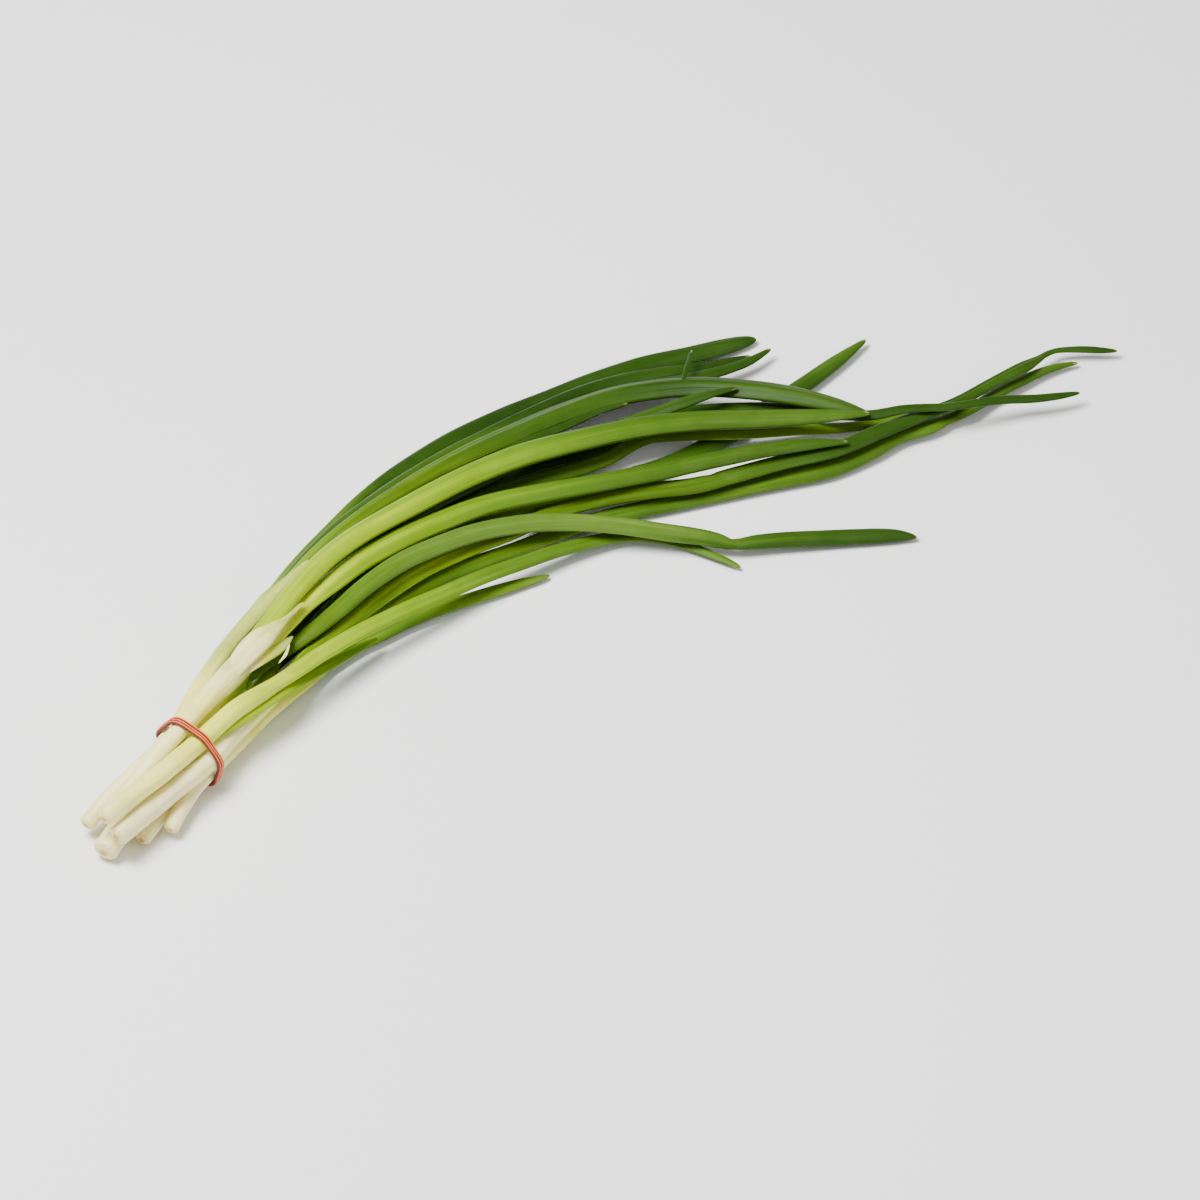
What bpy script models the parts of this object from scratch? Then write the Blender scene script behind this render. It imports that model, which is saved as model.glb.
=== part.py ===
"""A bunch of spring onions lying on a table, tied with a wound elastic.

Metres, +Z up. The origin is on the table, under the flat spot of the elastic. The leaves run off along +X.
"""

import math
from typing import NamedTuple

import bmesh
import bpy
import numpy as np

MM = 0.001

# The routes are drawn on a plane that leans back at 45 degrees over the table. A route's row is
# (across, up, height, width) in mm: two places on that plane, the height over the table, and the breadth
# there.
TIE_ACROSS = 3.0
TIE_UP = 1.06
DRAWING_SLOPE = math.sqrt(2.0)
BUNCH_TURN = math.radians(-33.0)

# The shanks run this way over the table where they are tied, counted from the drawing's level line.
TIE_DIRECTION = math.radians(60.0)

STEP = 3.0
RINGS_EVERY = 3
LEAF_SIDES = 8
SHANK_SIDES = 10
LEAF_FLATNESS = 0.6
SHANK_FLATNESS = 0.94
CLEARANCE = 0.5
EASING = 7
ROOT_PLATE = 0.62
ROOT_PLATE_LENGTH = 1.4

BAND_STRANDS = 3
BAND_STRAND_WIDTH = 0.95
BAND_THICKNESS = 1.5
BAND_GROOVE = 0.3
BAND_GAP = 0.35
BAND_STATIONS = 56


class Tube(NamedTuple):
    """A shank or a leaf: its plant, route and flatness, and where it starts to lie on what is below."""

    plant: str
    route: tuple
    flatness: float = LEAF_FLATNESS
    lies_from: float = 45.0


def shank(plant, *rows):
    return Tube(plant, rows, SHANK_FLATNESS, 1000.0)


def leaf(plant, *rows, lies_from=45.0):
    return Tube(plant, rows, LEAF_FLATNESS, lies_from)


# The shanks in the order in which they lie on each other, the lowest first.
SHANKS = {
    "low": shank(
        "low",
        (-13.8, -18.0, 3.8, 6.0), (-5.4, -6.6, 4.0, 6.0), (3.0, 4.1, 4.3, 6.0), (10.0, 13.5, 4.1, 6.0),
        (18.0, 24.0, 3.8, 6.2), (26.0, 34.0, 3.6, 6.2), (33.0, 43.0, 3.5, 6.0),
    ),
    "right": shank(
        "right",
        (-4.4, -14.7, 5.0, 5.6), (-0.4, -7.4, 6.2, 5.6), (3.9, -0.6, 6.8, 5.7), (8.0, 3.9, 6.9, 5.7),
        (12.2, 8.4, 6.2, 6.0), (19.8, 16.3, 5.2, 6.2), (27.8, 24.6, 4.4, 6.2), (36.1, 31.8, 4.0, 6.0),
    ),
    "broad": shank(
        "broad",
        (-22.0, -17.0, 12.5, 7.6), (-13.0, -9.5, 12.8, 7.8), (-3.9, -2.0, 13.0, 7.6), (8.3, 8.0, 13.4, 7.2),
        (15.0, 15.5, 13.2, 6.8), (22.0, 22.5, 12.6, 6.6), (29.0, 29.5, 11.8, 6.4), (36.0, 36.5, 11.0, 6.0),
    ),
    "stout": shank(
        "stout",
        (-26.2, -22.3, 4.9, 9.0), (-19.0, -12.0, 6.8, 8.6), (-11.2, -2.0, 8.4, 8.4), (-1.4, 10.6, 10.8, 8.2),
        (5.5, 18.8, 11.2, 7.4), (13.0, 27.0, 10.8, 6.8), (21.0, 35.0, 10.2, 6.6), (29.0, 41.5, 10.0, 6.2),
    ),
    "left": shank(
        "left",
        (-32.3, -13.2, 6.5, 6.0), (-25.5, -5.0, 9.2, 6.1), (-16.6, 3.7, 12.6, 6.1), (-7.7, 12.6, 16.2, 5.9),
        (-1.4, 20.9, 17.2, 5.9), (4.2, 31.0, 16.1, 6.2), (13.0, 43.8, 12.5, 6.4), (22.0, 54.8, 10.0, 6.4),
        (31.0, 65.8, 8.0, 6.6), (37.0, 72.4, 7.0, 6.4),
    ),
    "middle": shank(
        "middle",
        (-25.0, -8.8, 12.4, 5.8), (-13.3, 4.5, 17.6, 5.9), (-1.8, 17.8, 22.1, 6.3), (4.6, 25.0, 22.0, 7.2),
        (11.0, 31.8, 20.8, 8.4), (17.0, 38.0, 19.6, 9.2), (22.0, 43.5, 18.5, 8.6),
    ),
    "front": shank(
        "front",
        (-26.1, -10.9, 18.8, 6.8), (-16.5, -3.0, 19.8, 7.1), (-6.9, 4.3, 20.5, 7.1), (4.4, 13.7, 19.4, 6.9),
        (11.0, 19.7, 20.4, 6.9), (18.0, 25.6, 20.8, 7.0), (28.0, 32.0, 20.2, 7.2), (38.0, 38.3, 19.0, 7.2),
    ),
}

# The leaves in the order in which they lie on each other, the lowest first.
LEAVES = (
    leaf(
        "low",
        (24, 32, 3.6, 3.5), (36, 45, 3.5, 5.0), (52, 59, 3.0, 6.0), (68, 71, 3.0, 6.5), (90, 84, 3.0, 7.0),
        (115, 94, 3.0, 7.5), (135, 99.2, 3.0, 8.0), (150, 103.2, 3.0, 8.0), (160, 106.4, 3.0, 8.0),
        (171, 111.3, 3.0, 8.0), (180, 116.2, 3.0, 7.8), (195, 126.2, 3.0, 7.6), (207, 134, 3.0, 6.8),
        (218, 142, 3.0, 5.4), (227.3, 148.9, 3.0, 1.8),
        lies_from=200.0,
    ),
    leaf(
        "low",
        (26, 36, 3.6, 3.5), (38, 52, 4.0, 5.0), (55, 68, 4.0, 6.0), (75, 83, 4.5, 6.0), (95, 94.0, 5.0, 6.0),
        (110, 99.4, 5.0, 6.0), (125, 103.6, 5.0, 6.0), (134, 106.2, 5.0, 5.8), (142, 109.5, 5.0, 5.8),
        (148, 113.2, 5.0, 5.8), (154, 115.8, 5.0, 5.9), (162, 116.8, 5.0, 6.0), (185, 117.5, 5.0, 6.0),
        (205, 118.6, 4.0, 5.4), (222, 119.5, 3.0, 4.6), (238, 122.2, 2.5, 4.0), (252, 124.6, 2.0, 3.2),
        (262, 125.6, 2.0, 1.6),
    ),
    leaf(
        "low",
        (75, 83, 4.5, 3.6), (88, 92.6, 4.8, 5.0), (103, 100.9, 5.0, 5.6), (120, 106.4, 5.0, 5.6),
        (135, 110.2, 5.0, 5.4), (148, 114.6, 5.0, 4.8), (158, 117.4, 5.0, 3.4), (165, 119.0, 5.0, 1.6),
        lies_from=1000.0,
    ),
    leaf(
        "right",
        (21, 17.6, 5.1, 4.4), (28.5, 25.2, 4.6, 5.6), (36.5, 32.2, 4.0, 6.2), (44.2, 38.1, 3.5, 6.4),
        (56.5, 46.0, 3.0, 6.2), (64.8, 50.0, 2.8, 6.1), (73, 53.9, 2.6, 6.0), (85, 58.7, 2.6, 5.8),
        (97.5, 62.8, 2.6, 5.4), (106, 65.4, 2.4, 5.0), (112, 67.2, 2.2, 4.2), (117, 68.5, 2.1, 3.0),
        (121.3, 69.8, 2.0, 1.6),
    ),
    leaf(
        "broad",
        (22, 22, 12.4, 4.0), (33, 32.5, 11.0, 5.4), (45, 44, 9.5, 6.4), (56, 53, 7.5, 7.0),
        (70, 61, 5.6, 7.2),
        (85, 69.3, 4.2, 7.2), (100, 75.0, 4.0, 6.8), (110, 78.6, 3.6, 6.4), (120, 82.2, 3.3, 6.4),
        (130, 86.0, 3.0, 6.8), (145, 90.3, 2.6, 7.2), (160, 93.5, 2.6, 7.6), (180, 98.0, 2.6, 8.2),
        (200, 102.5, 2.8, 8.8), (215, 105.9, 2.8, 9.4), (227, 111.2, 2.8, 9.4), (238, 117.0, 2.8, 8.2),
        (248, 119.6, 2.6, 6.8), (254, 121.7, 2.4, 5.2), (262, 125.5, 2.4, 4.9), (272, 131.2, 2.4, 4.6),
        (280, 135.2, 2.3, 4.4), (286, 138.0, 2.2, 3.9), (292, 139.9, 2.1, 3.0), (298.5, 141.1, 2.0, 1.5),
        lies_from=90.0,
    ),
    leaf(
        "broad",
        (24, 25, 12.6, 4.0), (35, 37, 11.5, 5.2), (46, 47.5, 10.5, 6.6), (58, 57.3, 9.0, 7.4),
        (70, 66.2, 7.5, 7.6),
        (80, 72.2, 6.5, 7.4), (95, 78.9, 6.0, 7.0), (108, 83.8, 5.0, 6.6), (122, 90.4, 4.0, 6.6),
        (138, 95, 3.0, 7.0), (155, 98, 3.0, 7.4), (170, 99.8, 3.0, 7.4), (182, 103, 3.0, 7.2),
        (200, 107.8, 3.0, 6.8), (217, 111.8, 3.0, 6.8), (232, 118, 3.0, 6.4), (246, 123.3, 2.6, 5.6),
        (258, 128.0, 2.4, 4.8), (270, 134.4, 2.4, 5.0), (280, 139.5, 2.4, 5.4), (285.5, 142.5, 2.2, 3.3),
        (290, 144.9, 2.0, 2.5), (300, 145.6, 2.0, 3.2), (306, 145.3, 2.0, 2.9), (311.8, 145.1, 2.0, 1.5),
        lies_from=60.0,
    ),
    leaf(
        "stout",
        (14, 28, 11.0, 4.0), (26, 42, 8.6, 4.6), (40, 58, 7.0, 5.2), (58, 76, 6.0, 5.6), (80, 93, 6.0, 6.0),
        (105, 106.5, 6.0, 6.0), (130, 115.5, 5.0, 6.0), (155, 122.0, 4.0, 6.0), (175, 125.0, 3.5, 6.0),
        (195, 125.6, 3.0, 5.6), (212, 124.0, 3.0, 5.2), (228, 123.3, 2.6, 4.8), (240, 125.4, 2.4, 4.0),
        (256, 126.3, 2.2, 3.6), (270, 128.3, 2.2, 4.0), (284, 129.0, 2.0, 3.8), (292, 129.9, 2.0, 3.2),
        (298.9, 131.0, 2.0, 1.6),
    ),
    leaf(
        "left",
        (22, 54.8, 10.0, 4.6), (31, 65.8, 8.6, 5.6), (40, 75.9, 7.4, 6.2), (50, 86.1, 6.0, 6.6),
        (60, 95.6, 5.0, 7.0),
        (72, 104.7, 4.0, 7.6), (88, 114.6, 3.0, 7.8), (105, 122.6, 2.8, 8.0), (122, 129.4, 2.8, 8.0),
        (138, 135.6, 2.8, 8.0), (153, 140.4, 2.8, 8.0), (168, 143.6, 2.8, 8.0), (181, 146.8, 2.6, 7.0),
        (187, 148.4, 2.4, 5.0), (190.6, 149.1, 2.2, 2.4),
    ),
    leaf(
        "left",
        (25, 58.0, 10.0, 4.6), (33, 66.9, 9.2, 5.4), (42, 76.8, 8.4, 5.6), (50, 84.8, 7.8, 5.6),
        (60, 92.8, 7.2, 5.6),
        (72, 101.0, 6.0, 5.8), (86, 109.4, 5.0, 6.0), (100, 116.4, 4.0, 6.2), (115, 123.6, 3.0, 6.4),
        (130, 130.2, 3.0, 6.4), (145, 134.9, 3.0, 6.2), (160, 137.6, 3.0, 5.8), (172, 139.6, 2.8, 4.6),
        (180, 141.4, 2.6, 3.2), (188.5, 143.4, 2.4, 1.6),
    ),
    leaf(
        "left",
        (27, 60.0, 10.0, 4.4), (38, 71.8, 9.4, 4.6), (52, 84.8, 8.4, 4.8), (70, 97.8, 7.0, 5.0),
        (90, 109.4, 6.0, 5.0),
        (110, 119.2, 5.0, 5.0), (126, 125.8, 4.0, 5.0), (140, 130.2, 3.0, 5.2), (154, 133.2, 3.0, 5.2),
        (166, 135.2, 3.0, 5.2), (178, 138.1, 2.8, 4.8), (188, 141.6, 2.4, 3.8), (195.4, 145.8, 2.0, 1.6),
    ),
    leaf(
        "left",
        (26, 58.0, 10.5, 4.6), (36, 69.0, 10.5, 5.2), (45, 78.4, 10.0, 5.6), (54, 86.0, 9.5, 5.8),
        (65, 93.8, 9.0, 6.2),
        (80, 103.0, 8.0, 7.2), (95, 110.8, 7.0, 8.0), (110, 117.4, 6.0, 8.4), (125, 123.6, 5.0, 8.6),
        (140, 128.8, 4.0, 8.8), (155, 131.8, 4.0, 9.0), (170, 132.9, 4.0, 9.0), (185, 132.2, 4.0, 8.8),
        (200, 130.3, 3.4, 8.6), (212, 128.0, 3.0, 7.2), (221, 125.8, 2.8, 4.8), (228, 123.8, 2.4, 2.0),
    ),
    leaf(
        "left",
        (165.2, 133.4, 12.6, 2.4), (166.6, 138.0, 13.6, 2.4), (167.9, 142.0, 12.8, 2.0),
        (168.8, 145.4, 11.6, 1.1),
        lies_from=1000.0,
    ),
    leaf(
        "middle",
        (19, 41, 18.4, 3.2), (30, 55, 15.0, 3.4), (44, 69.5, 12.0, 3.6), (62, 84, 10.0, 3.8),
        (82, 97, 9.0, 3.8),
        (100, 107.6, 8.0, 3.8), (114, 114.5, 8.0, 3.6), (127, 119.9, 7.0, 3.4), (138, 124.8, 6.0, 3.0),
        (147.5, 127.3, 6.0, 1.5),
    ),
    leaf(
        "middle",
        (19, 40, 18.4, 3.6), (31, 52.5, 14.0, 3.8), (48, 69, 12.0, 4.2), (70, 85.5, 10.0, 4.6),
        (95, 99.5, 9.0, 4.8),
        (120, 110.5, 8.0, 5.0), (140, 118.0, 7.0, 5.2), (155, 123.6, 6.0, 5.2), (167, 127.8, 6.0, 4.8),
        (176, 130.7, 6.0, 3.6), (184, 132.6, 6.0, 1.6),
    ),
    leaf(
        "middle",
        (14, 33.5, 20.0, 5.0), (20, 39.4, 18.8, 6.4), (26.5, 46.0, 17.4, 7.0), (33, 53.0, 16.0, 7.2),
        (40, 60.2, 14.6, 7.6), (50, 68.2, 12.5, 8.4), (60, 75.4, 10.5, 9.0), (72, 82.0, 9.0, 9.2),
        (86, 88.2, 7.0, 9.0), (102, 93.8, 5.5, 8.8), (120, 97.4, 4.0, 8.6), (140, 101.0, 3.0, 8.4),
        (160, 104.9, 3.0, 8.0), (180, 109.1, 3.0, 7.4), (197, 112.2, 3.0, 6.4), (210, 113.8, 2.6, 4.8),
        (221, 114.4, 2.2, 1.8),
    ),
    leaf(
        "middle",
        (13, 34.0, 20.2, 5.0), (18.5, 40.5, 19.4, 6.4), (24.5, 48.8, 18.4, 7.2), (31.5, 58.0, 17.4, 7.4),
        (38.5, 66.6, 16.4, 7.8), (46, 74.4, 15.4, 8.2), (56, 82.2, 14.0, 8.6), (68, 89.2, 12.5, 9.0),
        (82, 96.8, 11.5, 9.4), (98, 104.6, 10.0, 9.8), (115, 110.8, 9.0, 10.0), (132, 115.1, 7.0, 9.8),
        (150, 119.0, 5.0, 9.4), (170, 121.3, 4.0, 9.0), (190, 121.9, 3.4, 8.4), (207, 122.7, 3.0, 7.0),
        (219, 123.4, 2.6, 4.6), (228.5, 123.9, 2.2, 1.8),
    ),
    leaf(
        "front",
        (26, 30.8, 20.0, 6.2), (36, 37.2, 19.2, 6.4), (46, 43.9, 18.0, 6.5), (60, 51.9, 15.7, 6.6),
        (72, 57.7, 14.0, 6.5), (86, 63.7, 11.8, 6.7), (100, 69.6, 9.6, 6.6), (112, 73.9, 7.9, 6.3),
        (122, 77.3, 6.6, 6.1), (132, 80.2, 5.2, 5.8), (142, 82.3, 4.0, 5.5), (150, 83.0, 3.4, 5.3),
        (158, 82.2, 3.0, 5.0), (166, 80.1, 2.8, 4.4), (174, 77.1, 2.5, 3.6), (181, 74.2, 2.2, 2.8),
        (185, 72.3, 2.0, 1.6),
    ),
    leaf(
        "stout",
        (20, 34.0, 10.3, 4.6), (28, 40.6, 10.4, 5.2), (36.5, 46.5, 12.2, 5.6), (43.5, 52.0, 13.2, 6.2),
        (52, 59.0, 13.0, 7.0), (61, 66.8, 13.5, 7.6), (71, 73.6, 12.5, 8.0), (83, 79.2, 11.5, 8.2),
        (97, 84.0, 10.5, 8.4), (112, 86.8, 9.0, 8.4), (128, 87.4, 8.0, 8.0), (144, 86.3, 7.0, 7.8),
        (154, 85.0, 6.0, 7.8), (162, 83.8, 5.0, 7.8), (172, 82.4, 4.0, 7.3), (178, 81.3, 3.4, 6.8),
        (184, 80.2, 3.0, 5.7), (190, 80.8, 3.0, 6.6), (200, 81.6, 3.0, 7.1), (212, 82.1, 2.8, 7.2),
        (224, 82.6, 2.6, 7.1), (232, 83.0, 2.4, 6.6), (238, 83.0, 2.2, 5.2), (244, 82.4, 2.0, 1.8),
        lies_from=60.0,
    ),
)

MATERIALS = {
    "left": ((0.42, 0.60, 0.14), 0.42),
    "middle": ((0.55, 0.70, 0.18), 0.42),
    "front": ((0.60, 0.74, 0.20), 0.40),
    "broad": ((0.40, 0.56, 0.12), 0.44),
    "right": ((0.45, 0.62, 0.15), 0.44),
    "low": ((0.30, 0.48, 0.12), 0.46),
    "stout": ((0.38, 0.58, 0.20), 0.44),
    "elastic": ((0.85, 0.25, 0.14), 0.55),
}


def smooth_rows(rows):
    """Rows read about STEP apart from a smooth curve that passes through the route's own rows."""
    rows = np.asarray(rows, float)
    rows = np.vstack([2 * rows[0] - rows[1], rows, 2 * rows[-1] - rows[-2]])
    knots = np.concatenate([[0.0], np.cumsum(np.sqrt(np.linalg.norm(np.diff(rows[:, :2], axis=0), axis=1)))])
    fine = []
    for i in range(1, len(rows) - 2):
        for t in np.linspace(knots[i], knots[i + 1], 16, endpoint=False):
            fine.append(curve_point(rows[i - 1 : i + 3], knots[i - 1 : i + 3], t))
    fine.append(rows[-2])
    fine = np.asarray(fine)
    along = np.concatenate([[0.0], np.cumsum(np.linalg.norm(np.diff(on_table(fine), axis=0), axis=1))])
    places = np.linspace(0.0, along[-1], max(3, round(along[-1] / STEP)) + 1)
    return np.column_stack([np.interp(places, along, column) for column in fine.T])


def curve_point(rows, knots, t):
    """A point of the centripetal Catmull-Rom curve through four rows."""
    level = list(rows)
    for depth in (1, 2, 3):
        level = [blend(level[i], level[i + 1], *knot_pair(knots, i, depth), t) for i in range(len(level) - 1)]
    return level[0]


def knot_pair(knots, i, depth):
    if depth == 3:
        return knots[1], knots[2]
    return knots[i], knots[i + depth]


def blend(first, second, start, end, t):
    share = (t - start) / (end - start)
    return (1.0 - share) * first + share * second


def on_table(rows):
    """The drawn rows as places in mm: across the table, away over it, and up, before the bunch is turned."""
    across = rows[:, 0] - TIE_ACROSS
    away = DRAWING_SLOPE * (rows[:, 1] - TIE_UP) - rows[:, 2]
    return np.column_stack([across, away, rows[:, 2]])


def height_over(row, flatness, others, other_flatness):
    """The least height at which an oval on the drawing's line clears every oval of a lower tube."""
    wide = (row[3] + others[:, 3]) / 2 + CLEARANCE
    thick = (row[3] * flatness + others[:, 3] * other_flatness) / 2 + CLEARANCE
    across = row[0] - others[:, 0]
    drawn = DRAWING_SLOPE * (row[1] - others[:, 1])
    square = 1 / wide**2 + 1 / thick**2
    linear = 2 * drawn / wide**2
    rest = (across**2 + drawn**2) / wide**2 - 1
    inside = linear**2 - 4 * square * rest
    meets = inside > 0
    if not meets.any():
        return -1.0
    return float((others[meets, 2] + (linear[meets] + np.sqrt(inside[meets])) / (2 * square[meets])).max())


def eased(lift):
    """The greatest lift near each place, then the mean near each: smooth, and never below what is needed."""
    last = len(lift) - 1
    near = [range(max(0, i - EASING), min(last, i + EASING) + 1) for i in range(len(lift))]
    greatest = [max(lift[j] for j in places) for places in near]
    return np.array([sum(greatest[j] for j in places) / len(places) for places in near])


def laid(tubes):
    """Every tube's rows, with each leaf raised in turn over those that lie below it, and over the table."""
    done = []
    for tube in tubes:
        rows = smooth_rows(tube.route)
        below = [(other, part) for other, part in (stretch_below(tube, *pair) for pair in done) if len(part)]
        lift = np.zeros(len(rows))
        for i, row in enumerate(rows):
            needed = [row[3] * tube.flatness / 2]
            if i * STEP >= tube.lies_from:
                needed += [height_over(row, tube.flatness, part, other.flatness) for other, part in below]
            lift[i] = max(0.0, max(needed) - row[2])
        rows[:, 2] += eased(lift)
        done.append((tube, rows))
    return done


def stretch_below(tube, other, rows):
    """The part of another tube that a tube lies on: none of a shank that is over its own plant's."""
    plants = list(SHANKS)
    if other.plant == tube.plant:
        return other, rows[round(other.lies_from / STEP) :]
    if other.flatness == SHANK_FLATNESS and plants.index(other.plant) > plants.index(tube.plant):
        return other, rows[:0]
    return other, rows


def rings_of(places, widths, flatness, sides):
    """Oval sections along a tube. Each has its broad axis level."""
    ahead = np.gradient(places, axis=0)
    ahead /= np.linalg.norm(ahead, axis=1)[:, None]
    side = np.cross(ahead, (0.0, 0.0, 1.0))
    side /= np.linalg.norm(side, axis=1)[:, None]
    up = np.cross(side, ahead)
    angles = 2 * math.pi * np.arange(sides) / sides
    wide = np.cos(angles)[None, :, None] * side[:, None, :]
    thick = np.sin(angles)[None, :, None] * up[:, None, :] * flatness
    return places[:, None, :] + (wide + thick) * (widths / 2)[:, None, None]


def turned(points):
    """Places on the table in metres, with the bunch's length along +X."""
    c, s = math.cos(BUNCH_TURN), math.sin(BUNCH_TURN)
    x, y, z = np.moveaxis(np.asarray(points), -1, 0)
    return np.stack([c * x - s * y, s * x + c * y, z], axis=-1) * MM


def lofted(name, rings):
    """A closed body over a row of rings, with a face over each end."""
    bm = bmesh.new()
    loops = [[bm.verts.new(point) for point in ring] for ring in turned(rings)]
    for first, second in zip(loops, loops[1:]):
        for i, corner in enumerate(first):
            bm.faces.new((corner, first[i - 1], second[i - 1], second[i]))
    bm.faces.new(loops[0])
    bm.faces.new(reversed(loops[-1]))
    bmesh.ops.recalc_face_normals(bm, faces=bm.faces)
    return mesh_object(name, bm)


def mesh_object(name, bm):
    mesh = bpy.data.meshes.new(name)
    bm.to_mesh(mesh)
    bm.free()
    mesh.shade_smooth()
    piece = bpy.data.objects.new(name, mesh)
    bpy.context.scene.collection.objects.link(piece)
    return piece


def finish(piece, name):
    colour, roughness = MATERIALS[name]
    material = bpy.data.materials.new(name)
    material.use_nodes = True
    shader = material.node_tree.nodes["Principled BSDF"]
    shader.inputs["Base Color"].default_value = (*colour, 1.0)
    shader.inputs["Roughness"].default_value = roughness
    shader.inputs["Metallic"].default_value = 0.0
    piece.data.materials.clear()
    piece.data.materials.append(material)


def tube_object(name, tube, rows):
    """The solid of a shank or a leaf. A shank's first ring is its root plate."""
    sides = SHANK_SIDES if tube.flatness == SHANK_FLATNESS else LEAF_SIDES
    picked = sorted({*range(0, len(rows), RINGS_EVERY), len(rows) - 1})
    places, widths = on_table(rows)[picked], rows[picked, 3]
    if tube.flatness == SHANK_FLATNESS:
        rim = places[0] + (places[1] - places[0]) * ROOT_PLATE_LENGTH / np.linalg.norm(places[1] - places[0])
        places = np.insert(places, 1, rim, axis=0)
        widths = np.insert(widths, 1, widths[0])
        widths[0] *= ROOT_PLATE
    return lofted(name, rings_of(places, widths, tube.flatness, sides))


def fused(name, pieces):
    """One body made of a plant's shank and leaves."""
    shank_piece, *leaf_pieces = pieces
    group = bpy.data.collections.new(name)
    bpy.context.scene.collection.children.link(group)
    for piece in leaf_pieces:
        group.objects.link(piece)
        bpy.context.scene.collection.objects.unlink(piece)
    union = shank_piece.modifiers.new("union", "BOOLEAN")
    union.operation = "UNION"
    union.operand_type = "COLLECTION"
    union.collection = group
    union.solver = "EXACT"
    bpy.context.view_layer.update()
    joined = bpy.data.meshes.new_from_object(shank_piece.evaluated_get(bpy.context.evaluated_depsgraph_get()))
    shank_piece.modifiers.clear()
    shank_piece.data = joined
    for piece in leaf_pieces:
        bpy.data.objects.remove(piece)
    bpy.data.collections.remove(group)
    shank_piece.name = name
    return shank_piece


def tie_axes():
    """The way the shanks run where they are tied, and the level way across them."""
    along = np.array([math.cos(TIE_DIRECTION), math.sin(TIE_DIRECTION), 0.0])
    return along, np.array([along[1], -along[0], 0.0])


def circles_at_tie(shank_rows):
    """Each shank's place and half width, across and up, at both edges of the elastic and at its middle."""
    along, across = tie_axes()
    half = BAND_STRANDS * BAND_STRAND_WIDTH / 2
    circles = []
    for rows in shank_rows:
        places = on_table(rows)
        run = places @ along
        slant = (run[-1] - run[0]) / np.linalg.norm(places[-1] - places[0])
        for level in (-half, 0.0, half):
            columns = (places @ across, places[:, 2], rows[:, 3])
            x, z, w = (np.interp(level, run, column) for column in columns)
            circles.append((x, z, w / 2 / slant))
    return circles


def stretched_round(circles, spare):
    """The outline of an elastic stretched round some circles: at each angle, the furthest of them."""
    angles = np.linspace(0.0, 2 * math.pi, 2 * BAND_STATIONS, endpoint=False)
    ways = np.column_stack([np.cos(angles), np.sin(angles)])
    reach = np.max([ways @ (x, z) + r + spare for x, z, r in circles], axis=0)
    corners = []
    for i in range(len(angles)):
        j = (i + 1) % len(angles)
        corners.append(np.linalg.solve(np.array([ways[i], ways[j]]), (reach[i], reach[j])))
    corners = np.array(corners + corners[:1])
    along = np.concatenate([[0.0], np.cumsum(np.linalg.norm(np.diff(corners, axis=0), axis=1))])
    places = np.linspace(0.0, along[-1], BAND_STATIONS, endpoint=False)
    return np.column_stack([np.interp(places, along, column) for column in corners.T])


def strand_profile():
    """The elastic's section as (along the shanks, out from them): flat inside, a low round per strand."""
    half = BAND_STRANDS * BAND_STRAND_WIDTH / 2
    points = [(-half, 0.0), (-half, BAND_THICKNESS - BAND_GROOVE)]
    for strand in range(BAND_STRANDS):
        start = -half + strand * BAND_STRAND_WIDTH
        points += [(start + share * BAND_STRAND_WIDTH, BAND_THICKNESS) for share in (0.22, 0.78)]
        points.append((start + BAND_STRAND_WIDTH, BAND_THICKNESS - BAND_GROOVE))
    return [*points, (half, 0.0)]


def make_elastic(shank_rows):
    """The wound elastic round the shanks, with its lowest part pressed flat on the table."""
    along, across = tie_axes()
    inner = stretched_round(circles_at_tie(shank_rows), BAND_GAP)
    ahead = np.roll(inner, -1, axis=0) - np.roll(inner, 1, axis=0)
    ahead /= np.linalg.norm(ahead, axis=1)[:, None]
    out = np.column_stack([ahead[:, 1], -ahead[:, 0]])
    bm = bmesh.new()
    loops = []
    for centre, way in zip(inner, out):
        loop = []
        for run, thick in strand_profile():
            x, z = centre + way * thick
            loop.append(along * run + across * x + np.array([0.0, 0.0, max(0.0, z)]))
        loops.append([bm.verts.new(point) for point in turned(loop)])
    for first, second in zip(loops, loops[1:] + loops[:1]):
        for i, corner in enumerate(first):
            bm.faces.new((corner, second[i], second[i - 1], first[i - 1]))
    bmesh.ops.recalc_face_normals(bm, faces=bm.faces)
    piece = mesh_object("elastic", bm)
    finish(piece, "elastic")


def make_bunch():
    for old in list(bpy.data.objects):
        bpy.data.objects.remove(old)
    shank_rows = {plant: smooth_rows(tube.route) for plant, tube in SHANKS.items()}
    leaves = laid([*SHANKS.values(), *LEAVES])[len(SHANKS) :]
    for plant, tube in SHANKS.items():
        pieces = [tube_object(f"{plant}_shank", tube, shank_rows[plant])]
        own = [(other, rows) for other, rows in leaves if other.plant == plant]
        pieces += [tube_object(f"{plant}_leaf_{i}", other, rows) for i, (other, rows) in enumerate(own)]
        onion = fused(f"onion_{plant}", pieces)
        finish(onion, plant)
    make_elastic(shank_rows.values())


make_bunch()
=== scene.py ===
"""The looks of a bunch of spring onions: seven plants tied with a wound elastic, lying on a pale table.

The routes and the rule by which the leaves lie on each other are the part's own, so every skin here sits on
its solid.
"""

import logging
import math
from dataclasses import dataclass, fields
from enum import Enum

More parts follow.
